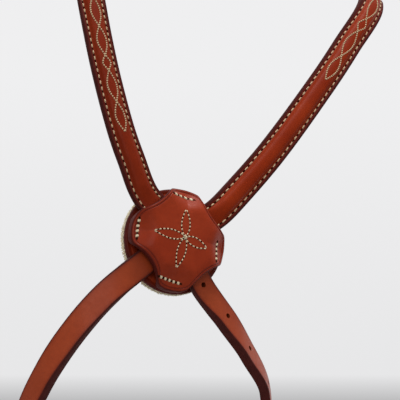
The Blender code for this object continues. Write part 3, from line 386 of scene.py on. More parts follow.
def level_pair(depth, held, first, second):
    """Knots of the level stretch through the crossing, between the two strap exits; a strap that
    lies over another is held to the straight line."""
    origin = crossing_point()
    span = first[0] - second[0]
    towards = Vector((span.x, 0.0, span.z)).normalized()
    middle = origin + FRONT * depth
    return [(middle + towards * (side * CROSSING_FLAT), -towards if held else None, FRONT)
            for side in (1, -1)]


def nose_route(side, hold, upper_shares, lower_shares, depth):
    """From a ring over the rosette and round the chin to the chin buckle's straight: the route, and
    the lengths where it crosses the other strap and where the straight begins."""
    size = (side * (RING_HALF_SPREAD + side * CROSS_OFF), CROSS_FORWARD, CROSS_DROP)
    upper = share_knots(upper_shares, size)
    lower = share_knots(lower_shares, CHIN_LOOP)
    knots = [(strap_middle_at(hold, TURN_TAIL, NOSE_STRAP_THICK), hold[1], hold[2])]
    knots.extend(reversed(upper))
    cross_index = len(knots)
    knots.extend(level_pair(depth, side < 0, upper[0], lower[0]))
    knots.extend(lower)
    straight_index = len(knots)
    start, way, face = chin_straight()
    for place in [start, start + way * CHIN_STRAIGHT][::-side]:
        knots.append((place, way * -side, face))
    route = Route(knots)
    cross_at = (route.knot_length(cross_index) + route.knot_length(cross_index + 1)) / 2
    return route, cross_at, route.knot_length(straight_index)


CROWN_SHARES = ((1.0, 0.0), (0.72, 0.62), (0.36, 0.93), (0.0, 1.0))
CORE_SHARE = 0.93            # the padding fills this much of the hollow


def rosette_place(across, up, depth):
    """A point of the rosette: right, up and towards the front from the base's front face."""
    return crossing_point() + RIGHT * across + UP * up + FRONT * depth


def top_outline(angle):
    """Radius of the scalloped top: four broad lobes on the axes, hollow curves over the straps."""
    quadrant = int((angle % (2 * math.pi)) // (math.pi / 2))
    off_diagonal = abs(angle % (math.pi / 2) - math.pi / 4)
    nearest = (SCALLOP_OVER_NEAR_UPPER, SCALLOP_OVER_OFF_UPPER,
               SCALLOP_OVER_OFF_LOWER, SCALLOP_OVER_NEAR_LOWER)[quadrant]
    centre = nearest + SCALLOP_RADIUS
    side = centre * math.sin(off_diagonal)
    scallop = centre * math.cos(off_diagonal) - math.sqrt(max(0.0, SCALLOP_RADIUS ** 2 - side ** 2))
    lobe = LOBE_RADIUS + LOWER_LOBE_MORE * max(0.0, -math.sin(angle)) ** 4
    ease = lobe * CORNER_EASE_SHARE
    gap = scallop - lobe
    return (scallop + lobe - math.sqrt(gap * gap + 4 * ease * ease)) / 2


def top_faces(across, up):
    """Heights of the top's two faces above the base: level over the crossing, up over each strap at
    the rim, down on the base at the lobes."""
    radius = math.hypot(across, up)
    angle = math.degrees(math.atan2(up, across)) % 360.0
    quadrant = int(angle // 90.0)
    from_strap = abs(angle - 90.0 * quadrant - 45.0)
    rims = (RIM_OVER_NEAR_UPPER, RIM_OVER_OFF_UPPER, RIM_OVER_OFF_LOWER, RIM_OVER_NEAR_LOWER)
    aside = radius * math.sin(math.radians(from_strap))
    down = smooth((aside - STRAP_SIDE) / (LOBE_SIDE - STRAP_SIDE))
    outer_down = smooth((aside - OUTER_STRAP_SIDE) / (OUTER_LOBE_SIDE - OUTER_STRAP_SIDE))
    full = (GAP + NOSE_STRAP_THICK) * 2
    over_strap = smooth((radius - SHOULDER_RADIUS) / (LOBE_RADIUS - SHOULDER_RADIUS))
    in_lobe = smooth((radius - LOBE_SHOULDER) / (LOBE_RADIUS - LOBE_SHOULDER))
    rim_rise = (rims[quadrant] - full) * over_strap
    low = GAP + full + rim_rise * (1 - down) + (LOBE_REST - full) * in_lobe * down
    dome = max(0.0, 1 - (radius / LOBE_RADIUS) ** 2)
    high = GAP + full + TOP_THICK + TOP_DOME * dome
    high += rim_rise * (1 - outer_down) - LOBE_FALL * in_lobe * outer_down
    return low, high


# Fine detail, only in the dressed model

STATION = 0.0024             # between two sections of a strap
COVER_STATION = 0.0012       # between two sections of a raised cover
ARC_STEPS = 5                # points on a rounded edge
DYE_INSIDE = 0.00075         # the dark dye comes this far in from the edge
DYE_FADE = 0.00035
FACE_CROWN = 0.00012         # a strap's face stands this much higher in its middle
EDGE_ROW = 0.0029            # stitch row from the edge of a raised cover
EDGE_PITCH = {"near": 0.0051, "off": 0.0040}
EDGE_SHARE = 0.71
EDGE_THREAD = 0.00056        # half width of the thread on a raised cover's edges
FANCY_PITCH = 0.0015
FANCY_THREAD = 0.00055
LOOP_HALF = 0.0031           # half width of a long loop
DIAMOND_HALF = 0.0030
LOOP_SINK = 0.00015          # leather inside a stitched loop lies lower
PETAL_THREAD = 0.00044
LOBE_THREAD = 0.00105
SEAM_THREAD = 0.00042
CREASE_INSIDE = 0.0018       # the rosette's crease line from its edge
CREASE_DEPTH = 0.00032
CREASE_HALF = 0.00042
RIM_ROUND = 0.0014
WIRE_STEP = 0.0014           # between two sections of a buckle frame
KEEPER_STEP = 0.0016         # between two sections of a keeper
KEEPER_CROWN = 0.00006
SEAM_INSIDE = 0.0027         # seam rows from the strap's edge
SEAM_PITCH = 0.0037
SEAM_SHARE = 0.74
COVER_HALF = NOSE_STRAP_WIDTH / 2
CROWN_HALF = COVER_HALF - COVER_FLANGE
COVER_BASE = NOSE_STRAP_THICK / 2 + GAP      # the cover's underside above the strap's middle
COVER_LOOPS = {"near": (0.1583, (0.0235, 0.0260, 0.0125)),      # first loop from the crossing, and
               "off": (0.0735, (0.0195, 0.0205, 0.0100))}       # the lengths that repeat
BASE_ROUND = 0.0013
RIM_PROUD = 0.0002           # the top's rim outside its outline
KNOT_THREAD = 0.00042
TUFTS = 8600
RIM_TUFTS = 2800
FACE_MARKS = (-1.0, -0.8, -0.5, -0.2, 0.2, 0.5, 0.8, 1.0)


# Materials

def srgb(red, green, blue):
    """Linear colour from display values of 0 to 255."""
    def linear(value):
        x = value / 255
        return x / 12.92 if x <= 0.04045 else ((x + 0.055) / 1.055) ** 2.4
    return (linear(red), linear(green), linear(blue), 1.0)


class Nodes:
    """Short hand for the nodes and links of a material or of the world."""

    def __init__(self, tree, space):
        self.tree = tree
        self.space = self.add("ShaderNodeTexCoord").outputs[space]

    def add(self, kind, **settings):
        node = self.tree.nodes.new(kind)
        for key, value in settings.items():
            setattr(node, key, value)
        return node

    def link(self, source, target):
        self.tree.links.new(source, target)

    def put(self, value, target):
        """Link an output, or set a plain value."""
        if hasattr(value, "is_linked"):
            self.link(value, target)
        else:
            target.default_value = value

    def noise(self, scale, detail=3.0, rough=0.55, space=None):
        node = self.add("ShaderNodeTexNoise")
        for key, value in (("Scale", scale), ("Detail", detail), ("Roughness", rough)):
            node.inputs[key].default_value = value
        self.link(space or self.space, node.inputs["Vector"])
        return node.outputs["Fac"]

    def cells(self, scale, feature="F1"):
        node = self.add("ShaderNodeTexVoronoi", feature=feature)
        node.inputs["Scale"].default_value = scale
        self.link(self.space, node.inputs["Vector"])
        return node.outputs["Distance"]

    def attribute(self, name):
        return self.add("ShaderNodeAttribute", attribute_name=name).outputs["Fac"]

    def math(self, operation, a, b=0.0):
        node = self.add("ShaderNodeMath", operation=operation)
        self.put(a, node.inputs[0])
        self.put(b, node.inputs[1])
        return node.outputs[0]

    def spread(self, value, low, high, to_low=0.0, to_high=1.0):
        """Map one range of values onto another."""
        node = self.add("ShaderNodeMapRange")
        self.put(value, node.inputs["Value"])
        for key, limit in (("From Min", low), ("From Max", high), ("To Min", to_low), ("To Max", to_high)):
            node.inputs[key].default_value = limit
        return node.outputs["Result"]

    def mix(self, share, a, b):
        node = self.add("ShaderNodeMix", data_type="RGBA")
        self.put(share, node.inputs["Factor"])
        self.put(a, node.inputs["A"])
        self.put(b, node.inputs["B"])
        return node.outputs["Result"]

    def bump(self, height, distance, strength=1.0, under=None):
        node = self.add("ShaderNodeBump")
        node.inputs["Strength"].default_value = strength
        node.inputs["Distance"].default_value = distance
        self.link(height, node.inputs["Height"])
        if under is not None:
            self.link(under, node.inputs["Normal"])
        return node.outputs["Normal"]

    def along(self, direction):
        """How far the way lies along a direction."""
        node = self.add("ShaderNodeVectorMath", operation="DOT_PRODUCT")
        self.link(self.space, node.inputs[0])
        node.inputs[1].default_value = direction
        return node.outputs["Value"]


class Finish(Nodes):
    """One material: its nodes, and its shader's sockets by name."""

    def __init__(self, name):
        self.material = bpy.data.materials.new(name)
        self.material.use_nodes = True
        super().__init__(self.material.node_tree, "Object")
        self.shader = self.tree.nodes["Principled BSDF"]

    def set(self, **values):
        for key, value in values.items():
            self.put(value, self.shader.inputs[key.replace("_", " ")])


def shade(colour, factor):
    return tuple(c * factor for c in colour[:3]) + (1.0,)


def leather(name, face, glow, edge, gloss, edge_band_share, shine):
    """Oiled bridle leather: mottled face, dark dyed edges, pale brushed flesh side."""
    made = Finish(name)
    clouds = made.spread(made.noise(38.0, 4.0), 0.32, 0.68)
    mottle = made.spread(made.noise(310.0, 5.0, 0.6), 0.30, 0.72)
    pores = made.cells(1500.0)
    fibres = made.noise(900.0, 4.0, 0.7)
    wear = made.spread(made.noise(140.0, 4.0, 0.6), 0.45, 0.75)
    tone = made.mix(clouds, face, glow)
    tone = made.mix(made.math("MULTIPLY", mottle, 0.30), tone, shade(face, 0.70))
    tone = made.mix(made.spread(pores, 0.0, 0.22, 0.30, 0.0), tone, shade(face, 0.55))
    # Painted shade inside the sunken stitched loops
    tone = made.mix(made.math("MULTIPLY", made.attribute("loop"), 0.20), tone, LOOP_SHADE)
    # Darker towards the edges, on a raised cover's flange out from its stitch row, and along the rosette's
    # pressed line
    tone = made.mix(made.math("MULTIPLY", made.attribute("burnish"), edge_band_share), tone, EDGE_BAND_DARK)
    flesh = made.mix(made.spread(fibres, 0.3, 0.7), FLESH, shade(FLESH, 0.66))
    tone = made.mix(made.attribute("back"), tone, flesh)
    dyed = made.mix(made.math("MULTIPLY", wear, 0.55), edge, shade(edge, 1.9))
    tone = made.mix(made.attribute("edge"), tone, dyed)
    rough = made.spread(mottle, 0.0, 1.0, gloss - 0.05, gloss + 0.08)
    for part, more in (("back", 0.42), ("edge", 0.32)):
        rough = made.math("ADD", rough, made.math("MULTIPLY", made.attribute(part), more))
    fine = made.noise(2600.0, 3.0, 0.65)
    grain = made.math("ADD", made.math("MULTIPLY", pores, 0.55), made.math("MULTIPLY", fine, 0.45))
    creases = made.bump(made.cells(520.0, "SMOOTH_F1"), 0.00006, 0.35)
    made.set(Base_Color=tone, Roughness=rough, Normal=made.bump(grain, 0.00007, 0.55, creases),
             Specular_IOR_Level=shine)
    return made.material


def thread(name, colour, shadow):
    """Waxed linen thread: two plies that wind round each other."""
    made = Finish(name)
    turned = made.math("ADD", made.math("MULTIPLY", made.attribute("ply_run"), 3.2),
                       made.math("MULTIPLY", made.attribute("ply_turn"), 2 * math.pi))
    plies = made.spread(made.math("SINE", turned), -1.0, 0.2)
    fibre = made.noise(4200.0, 2.0, 0.6)
    tone = made.mix(plies, shadow, colour)
    tone = made.mix(made.math("MULTIPLY", made.spread(fibre, 0.35, 0.7), 0.35), tone, shadow)
    tone = made.mix(made.attribute("dip"), tone, shade(shadow, 0.35))
    made.set(Base_Color=tone, Roughness=made.spread(fibre, 0.2, 0.8, 0.50, 0.72),
             Normal=made.bump(plies, 0.00010, 0.7))
    return made.material


def cut_side_and_hole_shade(name, dark, light):
    """The cut leather in a punched hole, and the painted shade in the mouth of a stitch hole."""
    made = Finish(name)
    made.set(Base_Color=made.mix(made.noise(700.0), dark, light),
             Roughness=made.spread(made.noise(900.0), 0.2, 0.8, 0.8, 0.95), Specular_IOR_Level=0.0)
    return made.material


def steel(name):
    """Polished stainless steel with fine wear."""
    made = Finish(name)
    wear = made.spread(made.noise(260.0, 5.0, 0.6), 0.35, 0.7)
    stretched = made.add("ShaderNodeMapping")
    stretched.inputs["Scale"].default_value = (1.0, 14.0, 14.0)
    made.link(made.space, stretched.inputs["Vector"])
    lines = made.noise(420.0, 3.0, 0.7, stretched.outputs["Vector"])
    made.set(Base_Color=made.mix(wear, srgb(205, 203, 198), srgb(182, 180, 176)), Metallic=1.0,
             Roughness=made.spread(lines, 0.3, 0.75, 0.12, 0.27), Normal=made.bump(lines, 0.00002, 0.25))
    return made.material


def fleece(name):
    """Cream sheepskin, with painted shade that makes it a little darker in its depth."""
    made = Finish(name)
    clumps = made.noise(210.0, 4.0, 0.6)
    tone = made.mix(made.spread(clumps, 0.3, 0.7), srgb(243, 231, 202), srgb(252, 244, 222))
    # Painted shade: darker in the pile's depth and at the roots of the tufts
    tone = made.mix(made.attribute("depth"), tone, srgb(234, 215, 176))
    made.set(Base_Color=tone, Roughness=made.spread(clumps, 0.2, 0.8, 0.86, 0.98), Sheen_Weight=0.25,
             Specular_IOR_Level=0.2, Normal=made.bump(made.noise(2400.0, 3.0), 0.0002, 0.6))
    return made.material


def felt(name):
    """The padding in the raised covers."""
    made = Finish(name)
    fibres = made.noise(1500.0, 5.0, 0.7)
    tone = made.mix(made.spread(fibres, 0.3, 0.7), srgb(170, 160, 142), srgb(200, 191, 172))
    made.set(Base_Color=tone, Roughness=made.spread(fibres, 0.2, 0.8, 0.9, 1.0),
             Normal=made.bump(fibres, 0.0002, 0.7))
    return made.material


DYE = srgb(58, 19, 15)
RIM_DYE = srgb(72, 20, 14)
FLESH = srgb(160, 114, 74)
# Painted shade for the leather inside the sunken stitched loops
LOOP_SHADE = srgb(108, 24, 6)
# Colour of the darker band towards the edges
EDGE_BAND_DARK = srgb(76, 18, 12)
STRAP_LEATHER = leather("strap_leather", srgb(138, 53, 26), srgb(152, 64, 34), DYE, 0.36, 0.55, 0.10)
# The off cover's leather is a darker copy of the near one's: painted shade, since the off strap leans back
# from the light
COVER_LEATHER = {
    "near": leather("cover_leather", srgb(122, 34, 6), srgb(138, 44, 11), DYE, 0.43, 0.85, 0.06),
    "off": leather("off_cover_shaded_leather", srgb(108, 29, 6), srgb(123, 38, 11), DYE, 0.43, 0.85, 0.06)}
ROSETTE_LEATHER = leather("rosette_leather", srgb(133, 42, 18), srgb(147, 52, 25), RIM_DYE, 0.34, 0.80, 0.08)
CREAM_THREAD = thread("cream_thread", srgb(222, 207, 174), srgb(146, 124, 92))
TAN_THREAD = thread("tan_thread", srgb(193, 168, 130), srgb(142, 113, 82))
# Painted shade for the mouths of the stitch holes
STITCH_HOLE_SHADE = cut_side_and_hole_shade("stitch_hole_shade", srgb(34, 15, 9), srgb(52, 25, 14))
PUNCHED = cut_side_and_hole_shade("punched_side", srgb(86, 34, 16), srgb(122, 54, 28))
STEEL_FINISH = steel("steel")
FLEECE_FINISH = fleece("fleece")
FELT_FINISH = felt("felt")


# Meshes

class Shape:
    """Points, faces and point values of one mesh."""

    def __init__(self):
        self.points = []
        self.faces = []
        self.values = {}

    def add_points(self, points, values):
        """Add points with their values: for each name a list, or one number for all of them."""
        first = len(self.points)
        self.points.extend(points)
        for key in sorted(set(self.values) | set(values)):
            kept = self.values.setdefault(key, [])
            kept.extend([0.0] * (first - len(kept)))
            found = values.get(key, 0.0)
            kept.extend(found if isinstance(found, list) else [found] * len(points))
        return first

    def skin(self, rings, values=None, closed=False):
        """Join rings of equal length; values holds one set of point values for each ring."""
        count = len(rings[0])
        starts = [self.add_points(ring, values[i] if values else {}) for i, ring in enumerate(rings)]
        for one, two in zip(starts, starts[1:] + starts[:1] if closed else starts[1:]):
            for i in range(count):
                j = (i + 1) % count
                self.faces.append((one + i, one + j, two + j, two + i))
        if not closed:
            self.faces.append(tuple(reversed(range(starts[0], starts[0] + count))))
            self.faces.append(tuple(range(starts[-1], starts[-1] + count)))

    def build(self, name, material, rounded=True, angle=45.0):
        mesh = bpy.data.meshes.new(name)
        mesh.from_pydata([tuple(p) for p in self.points], [], self.faces)
        mesh.validate()
        for key, kept in self.values.items():
            kept.extend([0.0] * (len(self.points) - len(kept)))
            mesh.attributes.new(key, "FLOAT", "POINT").data.foreach_set("value", kept)
        made = bpy.data.objects.new(name, mesh)
        bpy.context.scene.collection.objects.link(made)
        mesh.materials.append(material)
        turn_out(mesh)
        if rounded:
            mesh.shade_smooth()
            mesh.set_sharp_from_angle(angle=math.radians(angle))
        return made


def turn_out(mesh):
    """Make all faces point outwards."""
    work = bmesh.new()
    work.from_mesh(mesh)
    bmesh.ops.recalc_face_normals(work, faces=work.faces[:])
    work.to_mesh(mesh)
    work.free()


def skin_piece(name, material, rings, values=None, closed=False, angle=45.0):
    shape = Shape()
    shape.skin(rings, values, closed)
    return shape.build(name, material, angle=angle)


def belong(piece, body, node, stands_for=True):
    """Ride on a body and, unless it only adds to a CAD node, stand for that node by hiding it."""
    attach(piece, body)
    if stands_for:
        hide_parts(node)


def settle(piece, tool):
    """Cut a tool out of a piece for good, and give new points the values of their neighbours."""
    step = piece.modifiers.new("cut", "BOOLEAN")
    step.operation = "DIFFERENCE"
    step.solver = "EXACT"
    step.material_mode = "TRANSFER"
    step.object = tool
    old = piece.data
    tree = kdtree.KDTree(len(old.vertices))
    for i, v in enumerate(old.vertices):
        tree.insert(v.co, i)
    tree.balance()
    kept = {a.name: [d.value for d in a.data] for a in old.attributes
            if a.domain == "POINT" and a.data_type == "FLOAT"}
    graph = bpy.context.evaluated_depsgraph_get()
    mesh = bpy.data.meshes.new_from_object(piece.evaluated_get(graph))
    piece.modifiers.clear()
    nearest = [tree.find(v.co)[1] for v in mesh.vertices]
    for name, values in kept.items():
        if name in mesh.attributes:
            mesh.attributes.remove(mesh.attributes[name])
        layer = mesh.attributes.new(name, "FLOAT", "POINT")
        layer.data.foreach_set("value", [values[i] for i in nearest])
    mesh.shade_smooth()
    mesh.set_sharp_from_angle(angle=math.radians(45.0))
    mesh.name = piece.name
    piece.data = mesh
    bpy.data.objects.remove(tool)


# Strap sections

def section(half, thick, crown=FACE_CROWN):
    """A strap's section, going round: across and height of each point."""
    r = min(CORNER_ROUND, half * MOST_ROUND_SHARE, thick * MOST_ROUND_SHARE)
    h = thick / 2
    corner = [(half - r + r * math.sin(a), h - r + r * math.cos(a))
              for a in arc(0.0, math.pi / 2, ARC_STEPS)[1:]]
    side = corner + [(x, -y) for x, y in reversed(corner)]
    face = [(x * (half - r), h + crown * (1 - x * x)) for x in FACE_MARKS]
    back = [(-x * (half - r), -h) for x in FACE_MARKS]
    return face + side + back + [(-x, -y) for x, y in side]


def section_values(points, half, thick):
    values = {"edge": [], "back": [], "burnish": []}
    for a, b in points:
        inside = half - abs(a) - DYE_INSIDE
        values["edge"].append(1.0 - smooth(inside / DYE_FADE))
        values["back"].append(1.0 if b < -thick / 2 + 0.0002 and inside > 0 else 0.0)
        # Darker towards the edge, fading out over about 2 mm of the face
        values["burnish"].append(1.0 - smooth(inside / 0.0022))
    return values


class Strap:
    """Stations of one strap: place, normal, width direction, half width, thickness."""

    def __init__(self):
        self.stations = []

    def run(self, route, start, end, half, thick, lift=None, extra=()):
        count = max(2, round(abs(end - start) / STATION))
        marks = [start + (end - start) * i / count for i in range(count + 1)]
        marks = [m for m in marks if all(abs(m - e) > STATION / 4 for e in extra)] + list(extra)
        for s in sorted(marks):
            place, _, normal, across = route.at(s)
            raise_by = lift(s) if lift else 0.0
            self.stations.append((place + normal * raise_by, normal, across, half(s), thick(s)))

    def turn(self, hold, half, thick, round_ring, first):
        """The end that turns round a ring or a heel bar, before the run or after it."""
        middle, away, normal = hold
        across = away.cross(normal)
        if round_ring:
            path = turned_end(RING_WIRE_RADIUS, ring_sag(half), thick)
        else:
            path = turned_end(BAR_RADIUS, 0.0, thick)
        made = []
        for i, (u, h, t) in enumerate(path):
            before = path[max(0, i - 1)]
            after = path[min(len(path) - 1, i + 1)]
            face = normal * (after[0] - before[0]) - away * (after[1] - before[1])
            made.append((middle + away * u + normal * h, face.normalized(), across, half, t))
        if first:
            self.stations = made[:-1]
        else:
            self.stations[-1:] = reversed(made)

    def rounded_ends(self):
        """Draw the last sections in, so that the strap's ends are rounded too."""
        for end in (0, -1):
            place, normal, across, half, thick = self.stations[end]
            inner = self.stations[1] if end == 0 else self.stations[-2]
            along = (place - inner[0]).normalized()
            drawn = []
            for x in (0.35, 0.75, 1.0):
                r = thick * 0.30
                inset = r * (1 - math.sqrt(max(0.0, 1 - x * x)))
                drawn.append((place - along * (r * (1 - x)), normal, across, half - inset, thick - 2 * inset))
            if end == 0:
                self.stations[:1] = reversed(drawn)
            else:
                self.stations[-1:] = drawn

    def build(self, name):
        self.rounded_ends()
        rings = []
        values = []
        last = self.stations[0][2]
        for place, normal, across, half, thick in self.stations:
            if across.dot(last) < 0:
                across = -across
            last = across
            points = section(half, thick)
            rings.append([place + across * a + normal * b for a, b in points])
            values.append(section_values(points, half, thick))
        for index in (0, 1, -2, -1):
            values[index]["edge"] = 1.0
        return skin_piece(name, STRAP_LEATHER, rings, values)


def turned_end(bar, sag, thick):
    """Tail, bight and main layer round a bar: along the strap, off its middle, thickness."""
    pocket = bar + RUNNING + SKIVED_THICK / 2
    near = PAIR_GAP / 2 + SKIVED_THICK / 2
    full = TURN_TAIL - TURN_CLOSE
    closing = [(TURN_CLOSE * (1 - i / 8), near + (pocket - near) * smooth(i / 8)) for i in range(9)]
    path = [(TURN_TAIL - full * i / 6, -near, SKIVED_THICK) for i in range(6)]
    path += [(x, -h, SKIVED_THICK) for x, h in closing]
    path += [(-sag + pocket * math.cos(a), pocket * math.sin(a), SKIVED_THICK)
             for a in arc(-math.pi / 2, -math.pi, 20)[1:-1]]
    if sag:
        path.append((-sag, pocket, SKIVED_THICK))
    path += [(x, h, SKIVED_THICK) for x, h in reversed(closing)]
    for i in range(1, 7):
        t = SKIVED_THICK + (thick - SKIVED_THICK) * smooth(i / 6)
        path.append((TURN_CLOSE + full * i / 6, PAIR_GAP / 2 + t / 2, t))
    clean = [path[0]]
    for p in path[1:]:
        if math.dist(p[:2], clean[-1][:2]) > PAIR_GAP:
            clean.append(p)
    return clean


# Thread

def stitch_frame(along, normal):
    """Along, across and up at a stitch."""
    along = along.normalized()
    across = along.cross(normal).normalized()
    return along, across, across.cross(along)


def add_stitch(shape, a, b, normal, radius, sink=0.25, bulge=1.0, sides=8, rings=7, dark=0.8):
    """One stitch: a capsule lying on the leather, its ends dipping into their holes."""
    along, across, up = stitch_frame(b - a, normal)
    half = (b - a).length / 2
    made = []
    values = []
    for i in range(rings + 1):
        x = -1 + 2 * i / rings
        wide = radius * max(0.12, 1 - abs(x) ** 4) ** 0.5
        drop = radius * 1.1 * abs(x) ** 5 + radius * sink
        middle = (a + b) / 2 + along * (half * x) - up * drop
        made.append(ellipse(middle, across * wide, up * (wide * bulge), sides))
        values.append({"ply_turn": [j / sides for j in range(sides)], "ply_run": half * x / radius,
                       "dip": smooth((abs(x) - 0.72) / 0.28) * dark})
    shape.skin(made, values)


def add_hole_shade(shape, centre, along, normal, length, width):
    """Painted shade in the mouth of a stitch hole: a shallow dark lens let into the leather."""
    along, across, up = stitch_frame(along, normal)
    shape.skin([ellipse(centre + up * (width * height), along * (length / 2 * share),
                        across * (width / 2 * share), 10)
                for share, height in ((0.35, 0.16), (0.8, 0.10), (1.0, 0.0), (0.7, -0.22))])


class Stitching:
    """The thread of one group of rows, and the painted shade in its stitch holes."""

    def __init__(self, name, body, slot_node, material):
        self.name = name
        self.body = body
        self.slot_node = slot_node
        self.material = material
        self.threads = Shape()
        self.hole_shades = Shape()

    def row(self, line, start, end, pitch, share, radius, slant=0.0, pit=2.2, unit=1.0, **more):
        """Stitches along line(s), which gives place, direction and facing. unit is metres for one of
        s, share the thread's part of the pitch, pit the width of the holes in thread radii."""
        count = max(1, round(abs(end - start) / pitch))
        step = (end - start) / count
        for i in range(count):
            middle = start + step * (i + 0.5)
            half = abs(step) * share / 2
            _, along, facing = line(middle)
            shift = along.cross(facing).normalized() * slant
            add_stitch(self.threads, line(middle - half)[0] - shift, line(middle + half)[0] + shift,
                       facing, radius, **more)
            # A dark lens of painted shade at each stitch hole
            if pit:
                add_hole_shade(self.hole_shades, *line(start + step * i), abs(step) * (1 - share) * unit + radius * 1.2,
                        radius * pit)

    def build(self):
        made = self.threads.build(self.name, self.material, angle=80.0)
        belong(made, self.body, self.slot_node, stands_for=False)
        # The painted shade in the stitch holes, as a piece of its own
        if self.hole_shades.points:
            dark = self.hole_shades.build(self.name + "_holes", STITCH_HOLE_SHADE, angle=80.0)
            belong(dark, self.body, self.slot_node, stands_for=False)


# Buckles and keepers

def squared(x):
    """A sine or cosine drawn towards a square section."""
    return math.copysign(abs(x) ** 0.6, x)


class Buckle:
    """A buckle on a straight stretch: the billet comes from the start, the buckle strap from the end."""

    def __init__(self, name, start, way, face, bar_at, half_width, thick):
        self.name = name
        self.half_width = half_width
        self.thick = thick
        self.normal = (face - way * face.dot(way)).normalized()
        self.strap_middle = PAIR_GAP / 2 + thick / 2
        self.bar = start + way * bar_at - self.normal * self.strap_middle
        self.hold = (self.bar, way, self.normal)
        self.front = -way
        self.across = self.front.cross(self.normal)
        fold_top = BAR_RADIUS + RUNNING + SKIVED_THICK
        strap_top = PAIR_GAP / 2 + thick
        self.rise = max(fold_top, strap_top) + GAP - PAIR_GAP / 2

    def billet_lift(self, past_bar):
        """How far the billet lies outside the straight line, by its distance past the heel bar."""
        return self.rise * smooth((past_bar + BILLET_RISE_RUN) / BILLET_RISE_RUN)

    def billet_height(self, front):
        """Billet's middle above the heel bar's middle, at a distance in front of the bar."""
        return self.strap_middle + self.billet_lift(-front)

    def place(self, front, height, across=0.0):
        return self.bar + self.front * front + self.normal * height + self.across * across

    def front_bar_height(self):
        return self.billet_height(BUCKLE_REACH) + self.thick / 2 + GAP + GAP + BAR_RADIUS

    def frame_height(self, front):
        return self.front_bar_height() * smooth(front / BUCKLE_REACH)

    def dress_frame(self, body):
        half = self.half_width + BUCKLE_SIDE_ROOM + BAR_RADIUS
        outline = fine_outline(rounded_rectangle(0.0, BUCKLE_REACH, -half, half, BUCKLE_CORNER, 8), WIRE_STEP)
        places = [self.place(x, self.frame_height(x), y) for x, y in outline]
        rings = []
        for i, place in enumerate(places):
            along = (places[(i + 1) % len(places)] - places[i - 1]).normalized()
            normal = (self.normal - along * self.normal.dot(along)).normalized()
            rings.append(ellipse(place, along.cross(normal) * BAR_RADIUS, normal * BAR_RADIUS, 16))
        piece = skin_piece(self.name + "_buckle", STEEL_FINISH, rings, closed=True, angle=60.0)
        belong(piece, body, self.name + "_buckle_frame")

    def tongue_path(self):
        """The tongue's middle from round the heel bar to over the front bar: forward and up."""
        radius = BAR_RADIUS + TONGUE_CLEAR + TONGUE_THICK / 2
        rest = self.front_bar_height() + radius
        foot = TONGUE_HOLE - TONGUE_BEND
        top = rest - TONGUE_BEND
        path = [(radius * math.cos(a), radius * math.sin(a)) for a in arc(-math.pi / 2, -math.pi, 20)]
        path.append((foot / 2, radius))
        path += [(foot + TONGUE_BEND * math.cos(a), radius + TONGUE_BEND * (1 + math.sin(a)))
                 for a in arc(-math.pi / 2, math.pi / 2, 6)]
        path += [(TONGUE_HOLE + TONGUE_BEND * (1 + math.cos(a)), top + TONGUE_BEND * math.sin(a))
                 for a in arc(math.pi, -math.pi / 2, 8)]
        path.append(((TONGUE_HOLE + TONGUE_BEND + BUCKLE_REACH) / 2, rest))
        path.append((BUCKLE_REACH, rest))
        path.append((BUCKLE_REACH + BAR_RADIUS, rest - TONGUE_THICK / 8))
        path.append((BUCKLE_REACH + BAR_RADIUS + TONGUE_THICK, rest - TONGUE_THICK / 4))
        return path

    def dress_tongue(self, body):
        path = self.tongue_path()
        shares = [1.0] * (len(path) - 2) + [0.82, 0.55]
        rings = []
        for i, (x, h) in enumerate(path):
            before = path[max(0, i - 1)]
            after = path[min(len(path) - 1, i + 1)]
            size = math.dist(before, after)
            normal = (self.normal * (after[0] - before[0]) - self.front * (after[1] - before[1])) / size
            wide = self.across * (TONGUE_WIDTH / 2 * shares[i])
            tall = normal * (TONGUE_THICK / 2 * shares[i])
            rings.append([self.place(x, h) + wide * squared(math.cos(a)) + tall * squared(math.sin(a))
                          for a in turns(16)])
        piece = skin_piece(self.name + "_tongue", STEEL_FINISH, rings, angle=50.0)
        belong(piece, body, self.name + "_buckle_tongue")

    def dress_keeper(self, kind, back, low, body):
        high = self.billet_height(-back) + self.thick / 2 + SLIDE
        half = self.half_width + SLIDE
        mid = KEEPER_THICK / 2
        corners = rounded_rectangle(-half - mid, half + mid, low - SLIDE - mid, high + mid, KEEPER_ROUND, 6)
        outline = fine_outline(corners, KEEPER_STEP)
        middle = self.place(-back, (low + high) / 2)
        points = section(KEEPER_WIDTH / 2, KEEPER_THICK, KEEPER_CROWN)
        rings = []
        for i, (a, h) in enumerate(outline):
            before = outline[i - 1]
            after = outline[(i + 1) % len(outline)]
            along = self.across * (after[0] - before[0]) + self.normal * (after[1] - before[1])
            outward = along.normalized().cross(self.front)
            place = self.place(-back, h, a)
            if outward.dot(place - middle) < 0:
                outward = -outward
            rings.append([place + self.front * x + outward * y for x, y in points])
        values = [section_values(points, KEEPER_WIDTH / 2, KEEPER_THICK)] * len(rings)
        piece = skin_piece(self.name + "_" + kind + "_loop", STRAP_LEATHER, rings, values, closed=True)
        belong(piece, body, self.name + "_" + kind + "_keeper")

    def dress(self, strap_body, tongue_body, runner_body):
        self.dress_frame(strap_body)
        self.dress_tongue(tongue_body)
        self.dress_keeper("fixed", FIXED_KEEPER_BACK, -PAIR_GAP / 2 - SKIVED_THICK, strap_body)
        self.dress_keeper("runner", RUNNER_BACK, PAIR_GAP / 2, runner_body)

    def slot_tool(self):
        """Cuts the slot for the tongue out of the turned end."""
        reach = BAR_RADIUS + RUNNING + SKIVED_THICK + TONGUE_THICK
        half = TONGUE_WIDTH / 2 + SLIDE
        outline = rounded_rectangle(-reach, reach, -half, half, half * 0.9, 6)
        rings = [[self.place(x, h, a) for x, a in outline] for h in (-reach, reach)]
        return skin_piece(self.name + "_slot_tool", STRAP_LEATHER, rings)


